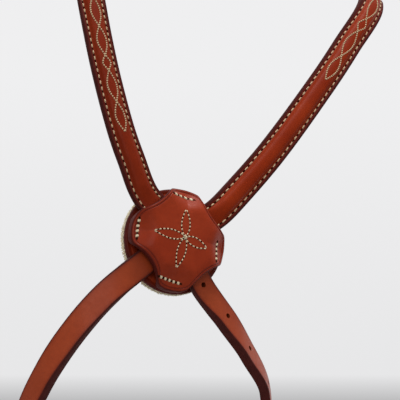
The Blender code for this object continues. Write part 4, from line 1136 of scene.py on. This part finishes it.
def hole_tool(name, holes, depth):
    """One tool for a row of punched holes: place, along, normal, across and length of each."""
    shape = Shape()
    for place, along, normal, across, length in holes:
        straight = max(0.0, length - 2 * HOLE_RADIUS) / 2
        outline = [(side * straight + HOLE_RADIUS * math.cos(a), HOLE_RADIUS * math.sin(a))
                   for side in (1, -1) for a in arc(-side * math.pi / 2, math.pi, 12)]
        if straight == 0.0:
            outline = outline[:12] + outline[13:25]
        shape.skin([[place + along * a + across * b + normal * (h * depth) for a, b in outline]
                    for h in (-1, 1)])
    return shape.build(name, PUNCHED, rounded=False)


def billet_holes(route, buckle, bar_at, first, tip):
    """The punched holes from one length to another, counted from the drawn-out hole in use."""
    used = bar_at - TONGUE_HOLE
    holes = []
    for index in range(-math.floor((used - first) / HOLE_PITCH), math.floor((tip - used) / HOLE_PITCH) + 1):
        s = used + index * HOLE_PITCH
        place, along, normal, across = route.at(s)
        place = place + normal * buckle.billet_lift(s - bar_at)
        holes.append((place, along, normal, across, 2 * HOLE_RADIUS if index else WORN_HOLE_LENGTH))
    return holes


def tip_width(half, tip):
    """Half width of a billet, which ends in a rounded point."""
    point = half * TIP_LENGTH_SHARE

    def width(s):
        x = min(1.0, max(0.0, (s - (tip - point)) / point))
        return half * max(TIP_END_SHARE, math.sqrt(max(0.0, 1 - x * x)))
    return width


def tip_stations(half, tip):
    """More stations where the point narrows."""
    point = half * TIP_LENGTH_SHARE
    return [tip - point * x for x in (0.9, 0.75, 0.6, 0.45, 0.33, 0.22, 0.14, 0.08, 0.04, 0.015)]


# Seams behind the rings and buckles

RING_SEAM = ((0.0105, 0.0245),)
BUCKLE_SEAM = ((0.0085, FIXED_KEEPER_BACK - KEEPER_WIDTH / 2),
               (FIXED_KEEPER_BACK + KEEPER_WIDTH / 2, TURN_TAIL - 0.001))


def turned_seam(name, body, node, hold, half, thick, spans):
    """Two rows through both layers of a turned end, seen on the front and on the back."""
    middle, away, normal = hold
    across = away.cross(normal)
    seam = Stitching(name, body, node, CREAM_THREAD)

    def front_height(u):
        share = smooth((u - TURN_CLOSE) / (TURN_TAIL - TURN_CLOSE))
        return PAIR_GAP / 2 + SKIVED_THICK + (thick - SKIVED_THICK) * share

    def back_height(u):
        return -PAIR_GAP / 2 - SKIVED_THICK

    for start, end in spans:
        for side in (1, -1):
            beside = middle + across * (side * (half - SEAM_INSIDE))
            for height, facing in ((front_height, normal), (back_height, -normal)):
                seam.row(lambda u: (beside + away * u + normal * height(u), away, facing),
                         start, end, SEAM_PITCH, SEAM_SHARE, SEAM_THREAD)
    seam.build()


# Headstall and jaw strap

def dress_buckled(name, holds, straight, bar_at, far_knots, near_node, far_node, bodies):
    """The headstall or the jaw strap: a punched billet on the near ring, its buckle, and the long
    strap from the buckle to the off ring."""
    body, tongue_body, runner_body = bodies
    near_hold, off_hold = holds
    half = HEAD_STRAP_WIDTH / 2
    thick = HEAD_STRAP_THICK
    _, away, face = near_hold
    start = strap_middle_at(near_hold, TURN_TAIL, thick)
    knots = [(start, away, face), (start + away * straight, away, face)]
    knots.extend(far_knots)
    knots.append((strap_middle_at(off_hold, TURN_TAIL, thick), -off_hold[1], off_hold[2]))
    route = Route(knots)
    buckle = Buckle(name, start, away, face, bar_at, half, thick)
    tip = bar_at + BILLET_PAST_BAR
    billet = Strap()
    billet.turn(near_hold, half, thick, round_ring=True, first=True)
    billet.run(route, 0.0, tip, tip_width(half, tip), lambda s: thick,
               lift=lambda s: buckle.billet_lift(s - bar_at), extra=tip_stations(half, tip))
    piece = billet.build(near_node + "_leather")
    holes = billet_holes(route, buckle, bar_at, HOLE_PITCH / 4, tip - HOLE_PITCH / 2)
    settle(piece, hole_tool(near_node + "_tool", holes, thick))
    belong(piece, body, near_node)
    long_strap = Strap()
    long_strap.turn(buckle.hold, half, thick, round_ring=False, first=True)
    long_strap.run(route, bar_at + TURN_TAIL, route.length, lambda s: half, lambda s: thick)
    long_strap.turn(off_hold, half, thick, round_ring=True, first=False)
    piece = long_strap.build(far_node + "_leather")
    settle(piece, buckle.slot_tool())
    belong(piece, body, far_node)
    buckle.dress(body, tongue_body, runner_body)
    for hold, node in ((near_hold, near_node), (off_hold, far_node)):
        turned_seam(node + "_ring_seam", body, node, hold, half, thick, RING_SEAM)
    turned_seam(far_node + "_buckle_seam", body, far_node, buckle.hold, half, thick, BUCKLE_SEAM)


def dress_headstall():
    holds = [ring_hold(side, UP, CHEEK_LEAN) for side in (1, -1)]
    far_knots = [(Vector((side * CROWN_FLAT_HALF, 0.0, HEAD_STRAP_THICK / 2)), -RIGHT, UP)
                 for side in (1, -1)]
    off_end = strap_middle_at(holds[1], TURN_TAIL + CHEEK_STRAIGHT, HEAD_STRAP_THICK)
    far_knots.append((off_end, -holds[1][1], holds[1][2]))
    dress_buckled("headstall", holds, CHEEK_STRAIGHT, CHEEK_BUCKLE_AT, far_knots,
                  "near_cheek_billet", "crown_strap", ("headstall", "headstall_tongue", "headstall_runner"))


def dress_jaw():
    dip = math.radians(JAW_LEAVE)
    out = BACK * math.cos(dip) - UP * math.sin(dip)
    holds = [ring_hold(side, out, JAW_LEAN) for side in (1, -1)]
    rear = Vector((0.0, 0.0, -RING_DROP)) + out * JAW_REACH
    off_end = strap_middle_at(holds[1], TURN_TAIL + JAW_STRAIGHT, HEAD_STRAP_THICK)
    far_knots = [(rear, -RIGHT, out), (off_end, -holds[1][1], holds[1][2])]
    dress_buckled("jaw", holds, JAW_STRAIGHT, JAW_BUCKLE_AT, far_knots,
                  "near_jaw_billet", "jaw_strap", ("jaw_piece", "jaw_tongue", "jaw_runner"))


def dress_ring(name, side, body):
    centre = ring_centre(side)
    rings = []
    for angle in turns(96):
        out = BACK * math.cos(angle) + UP * math.sin(angle)
        rings.append(ellipse(centre + out * RING_MEAN_RADIUS, RIGHT * RING_WIRE_RADIUS,
                             out * RING_WIRE_RADIUS, 20))
    belong(skin_piece(name + "_round", STEEL_FINISH, rings, closed=True, angle=80.0), body, name)


# Nose straps

def dress_nose_straps():
    start, way, face = chin_straight()
    thick = NOSE_STRAP_THICK
    narrow = CHIN_STRAP_WIDTH / 2
    buckle = Buckle("chin", start, way, face, CHIN_BUCKLE_AT, narrow, thick)
    near_hold = nose_hold(1)
    route, near_cross, straight_at = nose_route(1, near_hold, NEAR_UPPER_SHARES, OFF_LOWER_SHARES,
                                                lower_strap_depth())
    near_route = route
    width = nose_half_width(near_cross)
    full_thick = nose_thick(near_cross, straight_at)
    strap = Strap()
    strap.turn(near_hold, width(0.0), thick, round_ring=True, first=True)
    strap.run(route, 0.0, route.length - CHIN_BUCKLE_AT - TURN_TAIL, width, full_thick,
              lift=face_lift(full_thick))
    strap.turn((buckle.bar, way, buckle.normal), narrow, thick, round_ring=False, first=False)
    piece = strap.build("near_nose_leather")
    settle(piece, buckle.slot_tool())
    belong(piece, "nose_piece", "near_nose_strap")
    off_hold = nose_hold(-1)
    route, off_cross, straight_at = nose_route(-1, off_hold, OFF_UPPER_SHARES, NEAR_LOWER_SHARES,
                                               upper_strap_depth())
    off_route = route
    bar_at = straight_at + CHIN_BUCKLE_AT
    tip = bar_at + BILLET_PAST_BAR
    width = nose_half_width(off_cross)
    point = tip_width(narrow, tip)
    full_thick = nose_thick(off_cross, straight_at)
    keep_face = face_lift(full_thick)
    strap = Strap()
    strap.turn(off_hold, width(0.0), thick, round_ring=True, first=True)
    strap.run(route, 0.0, tip, lambda s: min(width(s), point(s)), full_thick,
              lift=lambda s: buckle.billet_lift(s - bar_at) + keep_face(s), extra=tip_stations(narrow, tip))
    piece = strap.build("off_nose_leather")
    holes = billet_holes(route, buckle, bar_at, off_cross + BASE_RADIUS - HOLE_RADIUS, tip - HOLE_PITCH / 2)
    settle(piece, hole_tool("off_nose_tool", holes, thick))
    belong(piece, "nose_piece", "off_nose_strap")
    buckle.dress("nose_piece", "chin_tongue", "chin_runner")
    for hold, node in ((near_hold, "near_nose_strap"), (off_hold, "off_nose_strap")):
        turned_seam(node + "_ring_seam", "nose_piece", node, hold, NOSE_STRAP_WIDTH / 2, thick, RING_SEAM)
    turned_seam("chin_buckle_seam", "nose_piece", "near_nose_strap", buckle.hold, narrow, thick, BUCKLE_SEAM)
    Cover("near", near_route, near_cross).dress()
    Cover("off", off_route, off_cross).dress()


# Raised covers with their rows and loops

CROWN_PROFILE = ((1.0, 0.0), (0.93, 0.13), (0.86, 0.33), (0.78, 0.53), (0.68, 0.70), (0.56, 0.83),
                 (0.42, 0.92), (0.28, 0.97), (0.14, 0.99), (0.0, 1.0))


HALF_MARKS = (1.0, 0.985, 0.94, 0.88, *(0.84 - 0.04 * i for i in range(7)),
              *(0.55 - 0.05 * i for i in range(11)))
ACROSS_MARKS = [-x for x in HALF_MARKS] + [0.0] + list(reversed(HALF_MARKS))


def crown_height(a, rise):
    """Height of the crown above the flange at a place across the cover."""
    x = min(1.0, abs(a) / CROWN_HALF)
    for (x0, y0), (x1, y1) in zip(CROWN_PROFILE, CROWN_PROFILE[1:]):
        if x >= x1:
            return rise * (y1 + (y0 - y1) * (x - x1) / (x0 - x1))
    return rise


def groove(off, half, depth):
    """Depth of a soft pressed line at a distance from its middle."""
    return depth * math.exp(-(off / half) ** 2)


class Cover:
    """A raised cover on a nose strap, with its padding, edge rows and stitched loops."""

    def __init__(self, name, route, cross_at):
        self.name = name
        self.node = name + "_raised_cover"
        self.route = route
        self.start = COVER_START - TURN_TAIL
        self.end = cross_at - COVER_TO_CROSSING
        span = self.end - self.start
        count = round(span / COVER_STATION)
        self.marks = [self.start + span * i / count for i in range(count + 1)]
        first, lengths = COVER_LOOPS[name]
        high = cross_at - first
        self.loops = []
        while high - lengths[len(self.loops) % 3] >= self.start + COVER_FADE * 0.6:
            index = len(self.loops) % 3
            self.loops.append((high - lengths[index], high, DIAMOND_HALF if index == 2 else LOOP_HALF))
            high -= lengths[index]

    def loop_side(self, s):
        """Half width of the loop at a length along the strap, and whether there is one."""
        for low, high, half in self.loops:
            if low <= s <= high:
                x = (s - low) / (high - low)
                if half == DIAMOND_HALF:
                    return half * (1.0 - abs(2 * x - 1)) ** 0.85, True
                return half * math.sin(math.pi * x), True
        return 0.0, False

    def rise_at(self, s):
        """Height of the padding's crown, which runs out at the cover's ends."""
        return COVER_RISE * (smooth((s - self.start) / COVER_FADE) * smooth((self.end - s) / COVER_FADE))

    def surface(self, s, a):
        """Height of the cover's face above the strap's face, with its groove and quilting."""
        height = COVER_EDGE + crown_height(a, self.rise_at(s))
        height -= groove(COVER_HALF - EDGE_ROW - abs(a), 0.0007, 0.00020)
        wide, looped = self.loop_side(s)
        if looped:
            height -= LOOP_SINK * smooth((wide - abs(a)) / 0.0009) + groove(abs(a) - wide, 0.0005, 0.00012)
        return height

    def dress_leather(self):
        inner_half = CROWN_HALF - COVER_WALL
        face = [x * COVER_HALF for x in ACROSS_MARKS]
        insides = [COVER_HALF - abs(a) for a in face]
        drops = [COVER_EDGE * 0.75 * (1 - math.sqrt(max(0.0, 1 - max(0.0, 1 - inside / 0.0008) ** 2)))
                 for inside in insides]
        rings = []
        values = []
        for s in self.marks:
            place, _, normal, across = self.route.at(s)
            place = place + normal * COVER_BASE
            hollow = max(COVER_EDGE + self.rise_at(s) - COVER_WALL, COVER_LEAST_HOLLOW)
            from_end = min(s - self.start, self.end - s)
            end_height = 0.45 + 0.55 * smooth(from_end / 0.0010)
            end_dye = 1.0 - smooth(from_end / 0.0016)
            wide, looped = self.loop_side(s)
            upper = [(a, (self.surface(s, a) - drop) * end_height) for a, drop in zip(face, drops)]
            under = [(COVER_HALF, 0.0), (inner_half + 0.0004, 0.0)]
            under += [(inner_half * x, hollow * y) for x, y in CROWN_SHARES]
            under += [(-a, b) for a, b in reversed(under[:-1])]
            rings.append([place + across * a + normal * b for a, b in upper + under])
            plain = [0.0] * len(under)
            values.append({
                "edge": [max(1.0 - smooth((inside - 0.0011) / 0.0006), end_dye) for inside in insides]
                + [1.0 if abs(a) > COVER_HALF - 0.0001 else 0.0 for a, _ in under],
                # Darker from the edge in to the stitch row
                "burnish": [1.0 - smooth((inside - EDGE_ROW + 0.0004) / 0.0007)
                            for inside in insides] + plain,
                # Where painted shade falls inside a stitched loop
                "loop": [smooth((wide - abs(a)) / 0.0007) if looped else 0.0 for a in face] + plain,
                "back": [0.0] * len(face) + [1.0 if abs(a) < COVER_HALF else 0.0 for a, _ in under]})
        piece = skin_piece(self.name + "_cover", COVER_LEATHER[self.name], rings, values, angle=60.0)
        belong(piece, "nose_piece", self.node)

    def dress_padding(self):
        """Felt inside the cover."""
        inner_half = (CROWN_HALF - COVER_WALL - GAP) * CORE_SHARE
        rings = []
        for s in self.marks[::3]:
            if not self.start + COVER_FADE / 2 < s < self.end - COVER_FADE / 2:
                continue
            place, _, normal, across = self.route.at(s)
            place = place + normal * COVER_BASE
            hollow = (COVER_EDGE + self.rise_at(s) - COVER_WALL - GAP) * CORE_SHARE
            arch = [(-inner_half * math.cos(a), max(GAP, hollow * max(0.0, math.sin(a)) ** 0.8))
                    for a in arc(0.0, math.pi, 16)]
            rings.append([place + across * (a * 0.96) + normal * min(b, hollow * 0.96) for a, b in arch])
        piece = skin_piece(self.name + "_felt", FELT_FINISH, rings)
        belong(piece, "nose_piece", self.name + "_padding")

    def on_face(self, s, a):
        place, _, normal, across = self.route.at(s)
        return place + across * a + normal * (COVER_BASE + self.surface(s, a)), normal, across

    def line_at(self, across_at):
        """A stitch line on the face; across_at gives its place across by the length."""
        step = 0.0004

        def line(s):
            a = across_at(s)
            here, normal, across = self.on_face(s, a)
            rise = self.surface(s, a + step) - self.surface(s, a - step)
            facing = (normal * (2 * step) - across * rise).normalized()
            before = self.on_face(s - step, across_at(s - step))[0]
            after = self.on_face(s + step, across_at(s + step))[0]
            return here, (after - before).normalized(), facing
        return line

    def dress(self):
        self.dress_leather()
        self.dress_padding()
        rows = Stitching(self.name + "_cover_rows", "nose_piece", self.node, TAN_THREAD)
        for side in (1, -1):
            rows.row(self.line_at(lambda s: side * (COVER_HALF - EDGE_ROW)), self.end - 0.0012,
                     self.start + 0.002, EDGE_PITCH[self.name], EDGE_SHARE, EDGE_THREAD,
                     slant=0.00012 * side, sink=0.1, dark=0.55)
        rows.build()
        loops = Stitching(self.name + "_cover_loops", "nose_piece", self.node, TAN_THREAD)
        for low, high, _ in self.loops:
            for side in (1, -1):
                loops.row(self.line_at(lambda s: side * self.loop_side(s)[0]), high, low, FANCY_PITCH, 1.04,
                          FANCY_THREAD, pit=0.0, sink=0.1, rings=5, sides=6, dark=0.25)
        loops.build()


# Rosette

def base_ring(radius, depth, steps):
    """A circle round the base's middle."""
    return ellipse(rosette_place(BASE_SHIFT, 0.0, depth), RIGHT * radius, UP * radius, steps)


def dress_base():
    """Round base: rounded dyed edge and a pressed line near it on the face."""
    r = BASE_ROUND
    profile = [(0.0006, 0.0), (0.010, 0.0), (0.020, 0.0), (0.0275, 0.0), (0.0288, 0.0), (0.0292, -0.00015),
               (0.0296, -0.00022), (0.0300, -0.00015), (0.0304, 0.0)]
    profile += [(BASE_RADIUS - r + r * math.sin(a), -r + r * math.cos(a)) for a in arc(0.0, math.pi / 2, 5)]
    profile.append((BASE_RADIUS, -BASE_THICK / 2))
    profile += [(BASE_RADIUS - r + r * math.cos(a), -BASE_THICK + r - r * math.sin(a))
                for a in arc(0.0, math.pi / 2, 5)]
    profile += [(0.020, -BASE_THICK), (0.0006, -BASE_THICK)]
    values = []
    for radius, depth in profile:
        dyed = smooth((radius - BASE_RADIUS + 0.0010) / 0.0004)
        # Darker towards the rim, from 3.5 mm inside it
        values.append({"edge": dyed, "back": 1.0 if depth <= -BASE_THICK + 0.0001 and dyed < 0.5 else 0.0,
                       "burnish": smooth((radius - BASE_RADIUS + 0.0035) / 0.002)})
    rings = [base_ring(radius, depth, 144) for radius, depth in profile]
    piece = skin_piece("rosette_base_leather", ROSETTE_LEATHER, rings, values, angle=60.0)
    belong(piece, "rosette", "rosette_base")


def outer_height(x, y):
    """Height of the top's outer face with its pressed crease."""
    inside = top_outline(math.atan2(y, x)) - math.hypot(x, y)
    return top_faces(x, y)[1] - groove(inside - CREASE_INSIDE, CREASE_HALF, CREASE_DEPTH)


def dress_top():
    """The scalloped top with a rounded dyed rim and a pressed line inside it."""
    columns = [(angle, top_outline(angle)) for angle in turns(240)]
    rings = []
    values = []

    def add_ring(radius_at, height_at, **found):
        """Radius by the outline's radius; height by the point and the outline's point beside it."""
        ring = []
        for angle, edge in columns:
            way = (math.cos(angle), math.sin(angle))
            x, y = [radius_at(edge) * part for part in way]
            ring.append(rosette_place(x, y, height_at((x, y), [edge * part for part in way])))
        rings.append(ring)
        values.append(found)

    for share in (0.03, 0.10, 0.18, 0.26, 0.34, 0.42, 0.50, 0.57, 0.64, 0.70):
        add_ring(lambda edge: edge * share, lambda own, rim: outer_height(*own))
    for inside in (0.0066, 0.0052, 0.0040, 0.0032, 0.0027, 0.0024, 0.0022, 0.0020, 0.0018, 0.0016, 0.0014,
                   0.0012, 0.0010):
        # Darker along the pressed line and at the rim
        mark = groove(inside - CREASE_INSIDE, CREASE_HALF * 0.9, 0.95)
        mark += 0.35 * (1 - smooth((inside - 0.0008) / 0.0006))
        add_ring(lambda edge: edge - inside, lambda own, rim: outer_height(*own), burnish=mark)
    for number, angle in enumerate(arc(0.0, math.pi / 2, 8)):
        inset = (1 - math.sin(angle)) * RIM_ROUND
        drop = (1 - math.cos(angle)) * RIM_ROUND
        add_ring(lambda edge: edge + RIM_PROUD - inset,
                 lambda own, rim: top_faces(*(own if inset > 0 else rim))[1] - drop,
                 edge=smooth((number - 2.0) / 2.5), burnish=0.4)
    add_ring(lambda edge: edge + RIM_PROUD, lambda own, rim: sum(top_faces(*rim)) / 2, edge=1.0, burnish=0.4)
    for angle in arc(0.0, math.pi / 2, 4):
        inset = (1 - math.cos(angle)) * RIM_ROUND * 0.8
        rise = (1 - math.sin(angle)) * RIM_ROUND * 0.8
        add_ring(lambda edge: edge + RIM_PROUD - inset, lambda own, rim: top_faces(*own)[0] + rise,
                 edge=1.0, burnish=0.4)
    for share in (0.93, 0.86, 0.78, 0.68, 0.55, 0.40, 0.22, 0.05):
        add_ring(lambda edge: (edge - RIM_ROUND) * share, lambda own, rim: top_faces(*own)[0], back=1.0)
    piece = skin_piece("rosette_top_leather", ROSETTE_LEATHER, rings, values, angle=70.0)
    belong(piece, "rosette", "rosette_top")


def on_top(x, y):
    """Place and facing on the top's outer face."""
    step = 0.0004
    here = outer_height(x, y)
    slope_x = (outer_height(x + step, y) - outer_height(x - step, y)) / (2 * step)
    slope_y = (outer_height(x, y + step) - outer_height(x, y - step)) / (2 * step)
    facing = (FRONT - RIGHT * slope_x - UP * slope_y).normalized()
    return rosette_place(x, y, here), facing


FLOWER_MIDDLE = (0.0006, -0.0002)
PETAL_TIPS = ((-0.0010, 0.0171), (-0.0194, -0.0002), (-0.0019, -0.0197), (0.0159, -0.0037))
PETAL_HALF = 0.0028
LOBE_ROWS = (((-0.0098, 0.0255), (0.0050, 0.0253), 4), ((-0.0281, 0.0062), (-0.0275, -0.0062), 4),
             ((-0.0104, -0.0262), (0.0045, -0.0274), 5), ((0.0238, 0.0030), (0.0242, -0.0092), 4))


def line_on_top(at, first=0.0, last=1.0):
    """A stitch line on the top's face; at(x) gives its place across and up for x from 0 to 1."""
    def line(x):
        x = min(last, max(first, x))
        place, facing = on_top(*at(x))
        return place, (on_top(*at(x + 0.01))[0] - place).normalized(), facing
    return line


def petal_path(tip, side):
    """One side of a petal, from the flower's middle to its tip."""
    middle = Vector(FLOWER_MIDDLE)
    along = Vector(tip) - middle
    across = Vector((-along.y, along.x)).normalized()

    def at(x):
        x = min(1.0, x)
        bow = PETAL_HALF * side * math.sin(math.pi * x ** 0.86) ** 0.9 if 0 < x < 1 else 0.0
        return middle + along * x + across * bow
    return at


def dress_flower():
    """The flower with its knot, and the four short rows in the lobes."""
    flower = Stitching("rosette_flower", "rosette", "rosette_top", CREAM_THREAD)
    for tip in PETAL_TIPS:
        size = math.dist(tip, FLOWER_MIDDLE)
        for side in (1, -1):
            line = line_on_top(petal_path(tip, side), 0.001, 0.999)
            flower.row(line, 0.06, 1.0, 0.00235 / size, 0.72, PETAL_THREAD, unit=size, sink=0.1, dark=0.5)
    place, facing = on_top(*FLOWER_MIDDLE)
    maker = random.Random(5)
    for i in range(7):
        angle = math.pi * i / 7 + maker.uniform(-0.15, 0.15)
        way = RIGHT * math.cos(angle) + UP * math.sin(angle)
        reach = way * maker.uniform(0.0013, 0.0019)
        shift = RIGHT * maker.uniform(-0.0004, 0.0004) + UP * maker.uniform(-0.0004, 0.0004)
        middle = place + shift + facing * (0.00015 + 0.00010 * i)
        add_stitch(flower.threads, middle - reach, middle + reach, facing, KNOT_THREAD, bulge=0.9)
    flower.build()
    lobes = Stitching("rosette_lobe_rows", "rosette", "rosette_top", CREAM_THREAD)
    for a, b, count in LOBE_ROWS:
        line = line_on_top(lambda x: Vector(a).lerp(Vector(b), x))
        lobes.row(line, 0.0, 1.0, 1.0 / count, 0.82, LOBE_THREAD, unit=math.dist(a, b), pit=1.6,
                  bulge=0.6, sink=0.1, dark=0.6)
        # Painted shade in the holes at both ends of each row
        for x in (0.0, 1.0):
            add_hole_shade(lobes.hole_shades, *line(x), 0.0022, 0.0013)
    lobes.build()


# Fleece

def dress_fleece():
    """Sheepskin: a soft lens with curled tufts over its back and round its edge."""
    front = -BASE_THICK - GAP
    edge = BASE_RADIUS - FLEECE_INSET - 0.0010
    deep = FLEECE_THICK
    profile = ((0.0006, 0.0002), (edge * 0.6, 0.0002), (edge * 0.95, 0.0004), (edge, 0.0012),
               (edge, deep * 0.45), (edge * 0.93, deep * 0.72), (edge * 0.7, deep * 0.80),
               (edge * 0.3, deep * 0.82), (0.0006, deep * 0.82))
    shape = Shape()
    # The lens under the tufts takes part of the painted shade
    shape.skin([base_ring(radius, front - low, 72) for radius, low in profile],
               [{"depth": 0.45}] * len(profile))
    maker = random.Random(11)
    for number in range(TUFTS):
        angle = maker.uniform(0, 2 * math.pi)
        if number < RIM_TUFTS:
            radius = edge - 0.0004
            height = front - maker.uniform(0.0004, deep * 0.72)
            out = 1.0
        else:
            radius = edge * math.sqrt(maker.uniform(0.0, 0.98))
            height = front - deep * 0.74
            out = 0.35 * (radius / edge) ** 4
        add_tuft(shape, radius, angle, height, out, maker)
    piece = shape.build("fleece_pile", FLEECE_FINISH, angle=80.0)
    belong(piece, "rosette", "fleece_pad")


def add_tuft(shape, radius, angle, height, out, maker):
    """One curled lock of wool that tapers to its end; out is 1 where it grows straight out of the rim."""
    outward = RIGHT * math.cos(angle) + UP * math.sin(angle)
    root = rosette_place(BASE_SHIFT, 0.0, height) + outward * radius
    lean = Vector((maker.uniform(-1, 1), maker.uniform(-0.5, 0.5), maker.uniform(-1, 1)))
    away = ((outward * out + BACK * (1.0 - out)).normalized() + lean * 0.45).normalized()
    side = away.cross(Vector((maker.uniform(-1, 1), maker.uniform(-1, 1), maker.uniform(-1, 1)))).normalized()
    other = away.cross(side)
    length = maker.uniform(0.0015, 0.0024) if out > 0.9 else maker.uniform(0.0013, 0.0022)
    thick = maker.uniform(0.00034, 0.00056) if out > 0.9 else maker.uniform(0.00045, 0.00072)
    curl = maker.uniform(0.0002, 0.0004)
    turn = maker.uniform(0, 6.28)
    least = crossing_point().y + BASE_THICK + GAP
    rings = []
    values = []
    for x in (0.0, 0.25, 0.5, 0.75, 1.0):
        swing = turn + x * 4.0
        middle = root + away * (length * x) + (side * math.cos(swing) + other * math.sin(swing)) * (curl * x)
        middle.y = min(least + FLEECE_THICK + 0.0012, max(least, middle.y))
        r = thick * (1 - 0.55 * x * x)
        rings.append(ellipse(middle, side * r, other * r, 3))
        # Painted shade at the tuft's root, fading towards its end
        values.append({"depth": 1.0 - smooth(x * 1.6)})
    shape.skin(rings, values)


# Stage, light and camera

PHOTO_SCALE = 0.00061        # metres for a pixel at the rosette
PHOTO_PIXELS = 400
CAMERA_REACH = 0.9
CAMERA_BACK = Vector((-0.3692, -0.8963, -0.2453)).normalized()
CAMERA_RIGHT = Vector((0.902, -0.409, 0.1366))
WORLD_LIGHT = (0.32, 0.54)      # from below and from above
FLOOR_BOUNCE_SHARE = 0.35
FLOOR_LEVEL = -0.80
BACKDROP_SPAN = (-0.1085, 0.1645)    # slopes seen from the camera at the backdrop's foot and top
BACKDROP_STOPS = ((0.0, 188), (0.065, 231), (0.8, 239))     # a pale sweep, shaded at its foot
SENSOR_WIDTH = 36.0
CAMERA_SHIFT = (0.065, 0.1025)
LAMPS = (("key", (-0.05, -0.28, 0.96), 1.9, (1.0, 1.0), 32.0),
         ("fill", (-0.50, -0.82, 0.25), 1.9, (1.0, 1.0), 10.0),
         ("side", (0.96, 0.22, -0.02), 1.7, (0.25, 1.5), 4.5),
         ("rear", (-0.45, 0.70, 0.55), 2.2, (1.2, 1.2), 8.0))


def background_rays(made):
    """1 for the rays that show the background: to the camera, in gloss and through glass."""
    rays = made.add("ShaderNodeLightPath")
    total = rays.outputs["Is Camera Ray"]
    for kind in ("Is Glossy Ray", "Is Transmission Ray"):
        total = made.math("MAXIMUM", total, rays.outputs[kind])
    return total


def stage_material(name, colour, rough):
    """Pale paper, which sends less light back onto the object than it shows to the camera."""
    made = Finish(name)
    paper = made.mix(made.spread(made.noise(3.0), 0.3, 0.7), colour, shade(colour, 0.985))
    made.set(Base_Color=made.mix(background_rays(made), shade(colour, FLOOR_BOUNCE_SHARE), paper),
             Roughness=made.spread(made.noise(40.0), 0.2, 0.8, rough, rough + 0.1))
    return made.material


def make_stage():
    half = 4.0
    shape = Shape()
    corners = ((-half, -half), (half, -half), (half, half), (-half, half))
    shape.add_points([Vector((x, y, FLOOR_LEVEL)) for x, y in corners], {})
    shape.faces.append((0, 1, 2, 3))
    shape.build("floor", stage_material("floor_paper", srgb(236, 236, 236), 0.75), rounded=False)


def make_world(camera_up):
    """A pale background for the camera and for gloss, and plain soft light from all sides."""
    world = bpy.data.worlds.new("studio")
    bpy.context.scene.world = world
    world.use_nodes = True
    for node in list(world.node_tree.nodes):
        world.node_tree.nodes.remove(node)
    made = Nodes(world.node_tree, "Generated")
    ahead = made.along(-CAMERA_BACK)
    slope = made.math("DIVIDE", made.along(camera_up), ahead)
    ramp = made.add("ShaderNodeValToRGB")
    made.link(made.spread(slope, *BACKDROP_SPAN), ramp.inputs["Fac"])
    while len(ramp.color_ramp.elements) < len(BACKDROP_STOPS):
        ramp.color_ramp.elements.new(0.5)
    for element, (at, value) in zip(ramp.color_ramp.elements, BACKDROP_STOPS):
        element.position = at
        element.color = srgb(value, value, value + 1)
    in_front = made.math("GREATER_THAN", ahead, 0.5)
    backdrop = made.add("ShaderNodeBackground")
    made.link(made.mix(in_front, srgb(236, 236, 237), ramp.outputs["Color"]), backdrop.inputs["Color"])
    light = made.add("ShaderNodeBackground")
    light.inputs["Color"].default_value = (1.0, 1.0, 1.0, 1.0)
    made.link(made.spread(made.along(UP), -0.4, 0.7, *WORLD_LIGHT), light.inputs["Strength"])
    shown = made.add("ShaderNodeMixShader")
    made.link(background_rays(made), shown.inputs[0])
    made.link(light.outputs[0], shown.inputs[1])
    made.link(backdrop.outputs[0], shown.inputs[2])
    made.link(shown.outputs[0], made.add("ShaderNodeOutputWorld").inputs["Surface"])


def area_lamp(name, way, reach, size, power):
    """A lamp that looks at the crossing, in a direction and at a distance from it."""
    data = bpy.data.lights.new(name, "AREA")
    data.shape = "RECTANGLE"
    data.size, data.size_y = size
    data.energy = power
    lamp = bpy.data.objects.new(name, data)
    lamp.location = crossing_point() + Vector(way) * reach
    lamp.rotation_euler = (-Vector(way)).to_track_quat("-Z", "Y").to_euler()
    bpy.context.scene.collection.objects.link(lamp)


def make_camera():
    right = (CAMERA_RIGHT - CAMERA_BACK * CAMERA_RIGHT.dot(CAMERA_BACK)).normalized()
    up = CAMERA_BACK.cross(right)
    data = bpy.data.cameras.new("camera")
    data.sensor_width = SENSOR_WIDTH
    data.lens = SENSOR_WIDTH * CAMERA_REACH / (PHOTO_SCALE * PHOTO_PIXELS)
    data.shift_x, data.shift_y = CAMERA_SHIFT
    data.clip_start = 0.02
    data.clip_end = 50.0
    camera = bpy.data.objects.new("camera", data)
    place = crossing_point() + CAMERA_BACK * CAMERA_REACH
    columns = Matrix((right, up, CAMERA_BACK)).transposed()
    camera.matrix_world = Matrix.Translation(place) @ columns.to_4x4()
    bpy.context.scene.collection.objects.link(camera)
    bpy.context.scene.camera = camera
    return up


make_world(make_camera())
make_stage()
bpy.context.scene.view_settings.view_transform = "Standard"
for lamp in LAMPS:
    area_lamp(*lamp)

dress_ring("near_cheek_ring", 1, "near_ring")
dress_ring("off_cheek_ring", -1, "off_ring")
dress_headstall()
dress_jaw()
dress_nose_straps()
dress_base()
dress_top()
dress_flower()
dress_fleece()
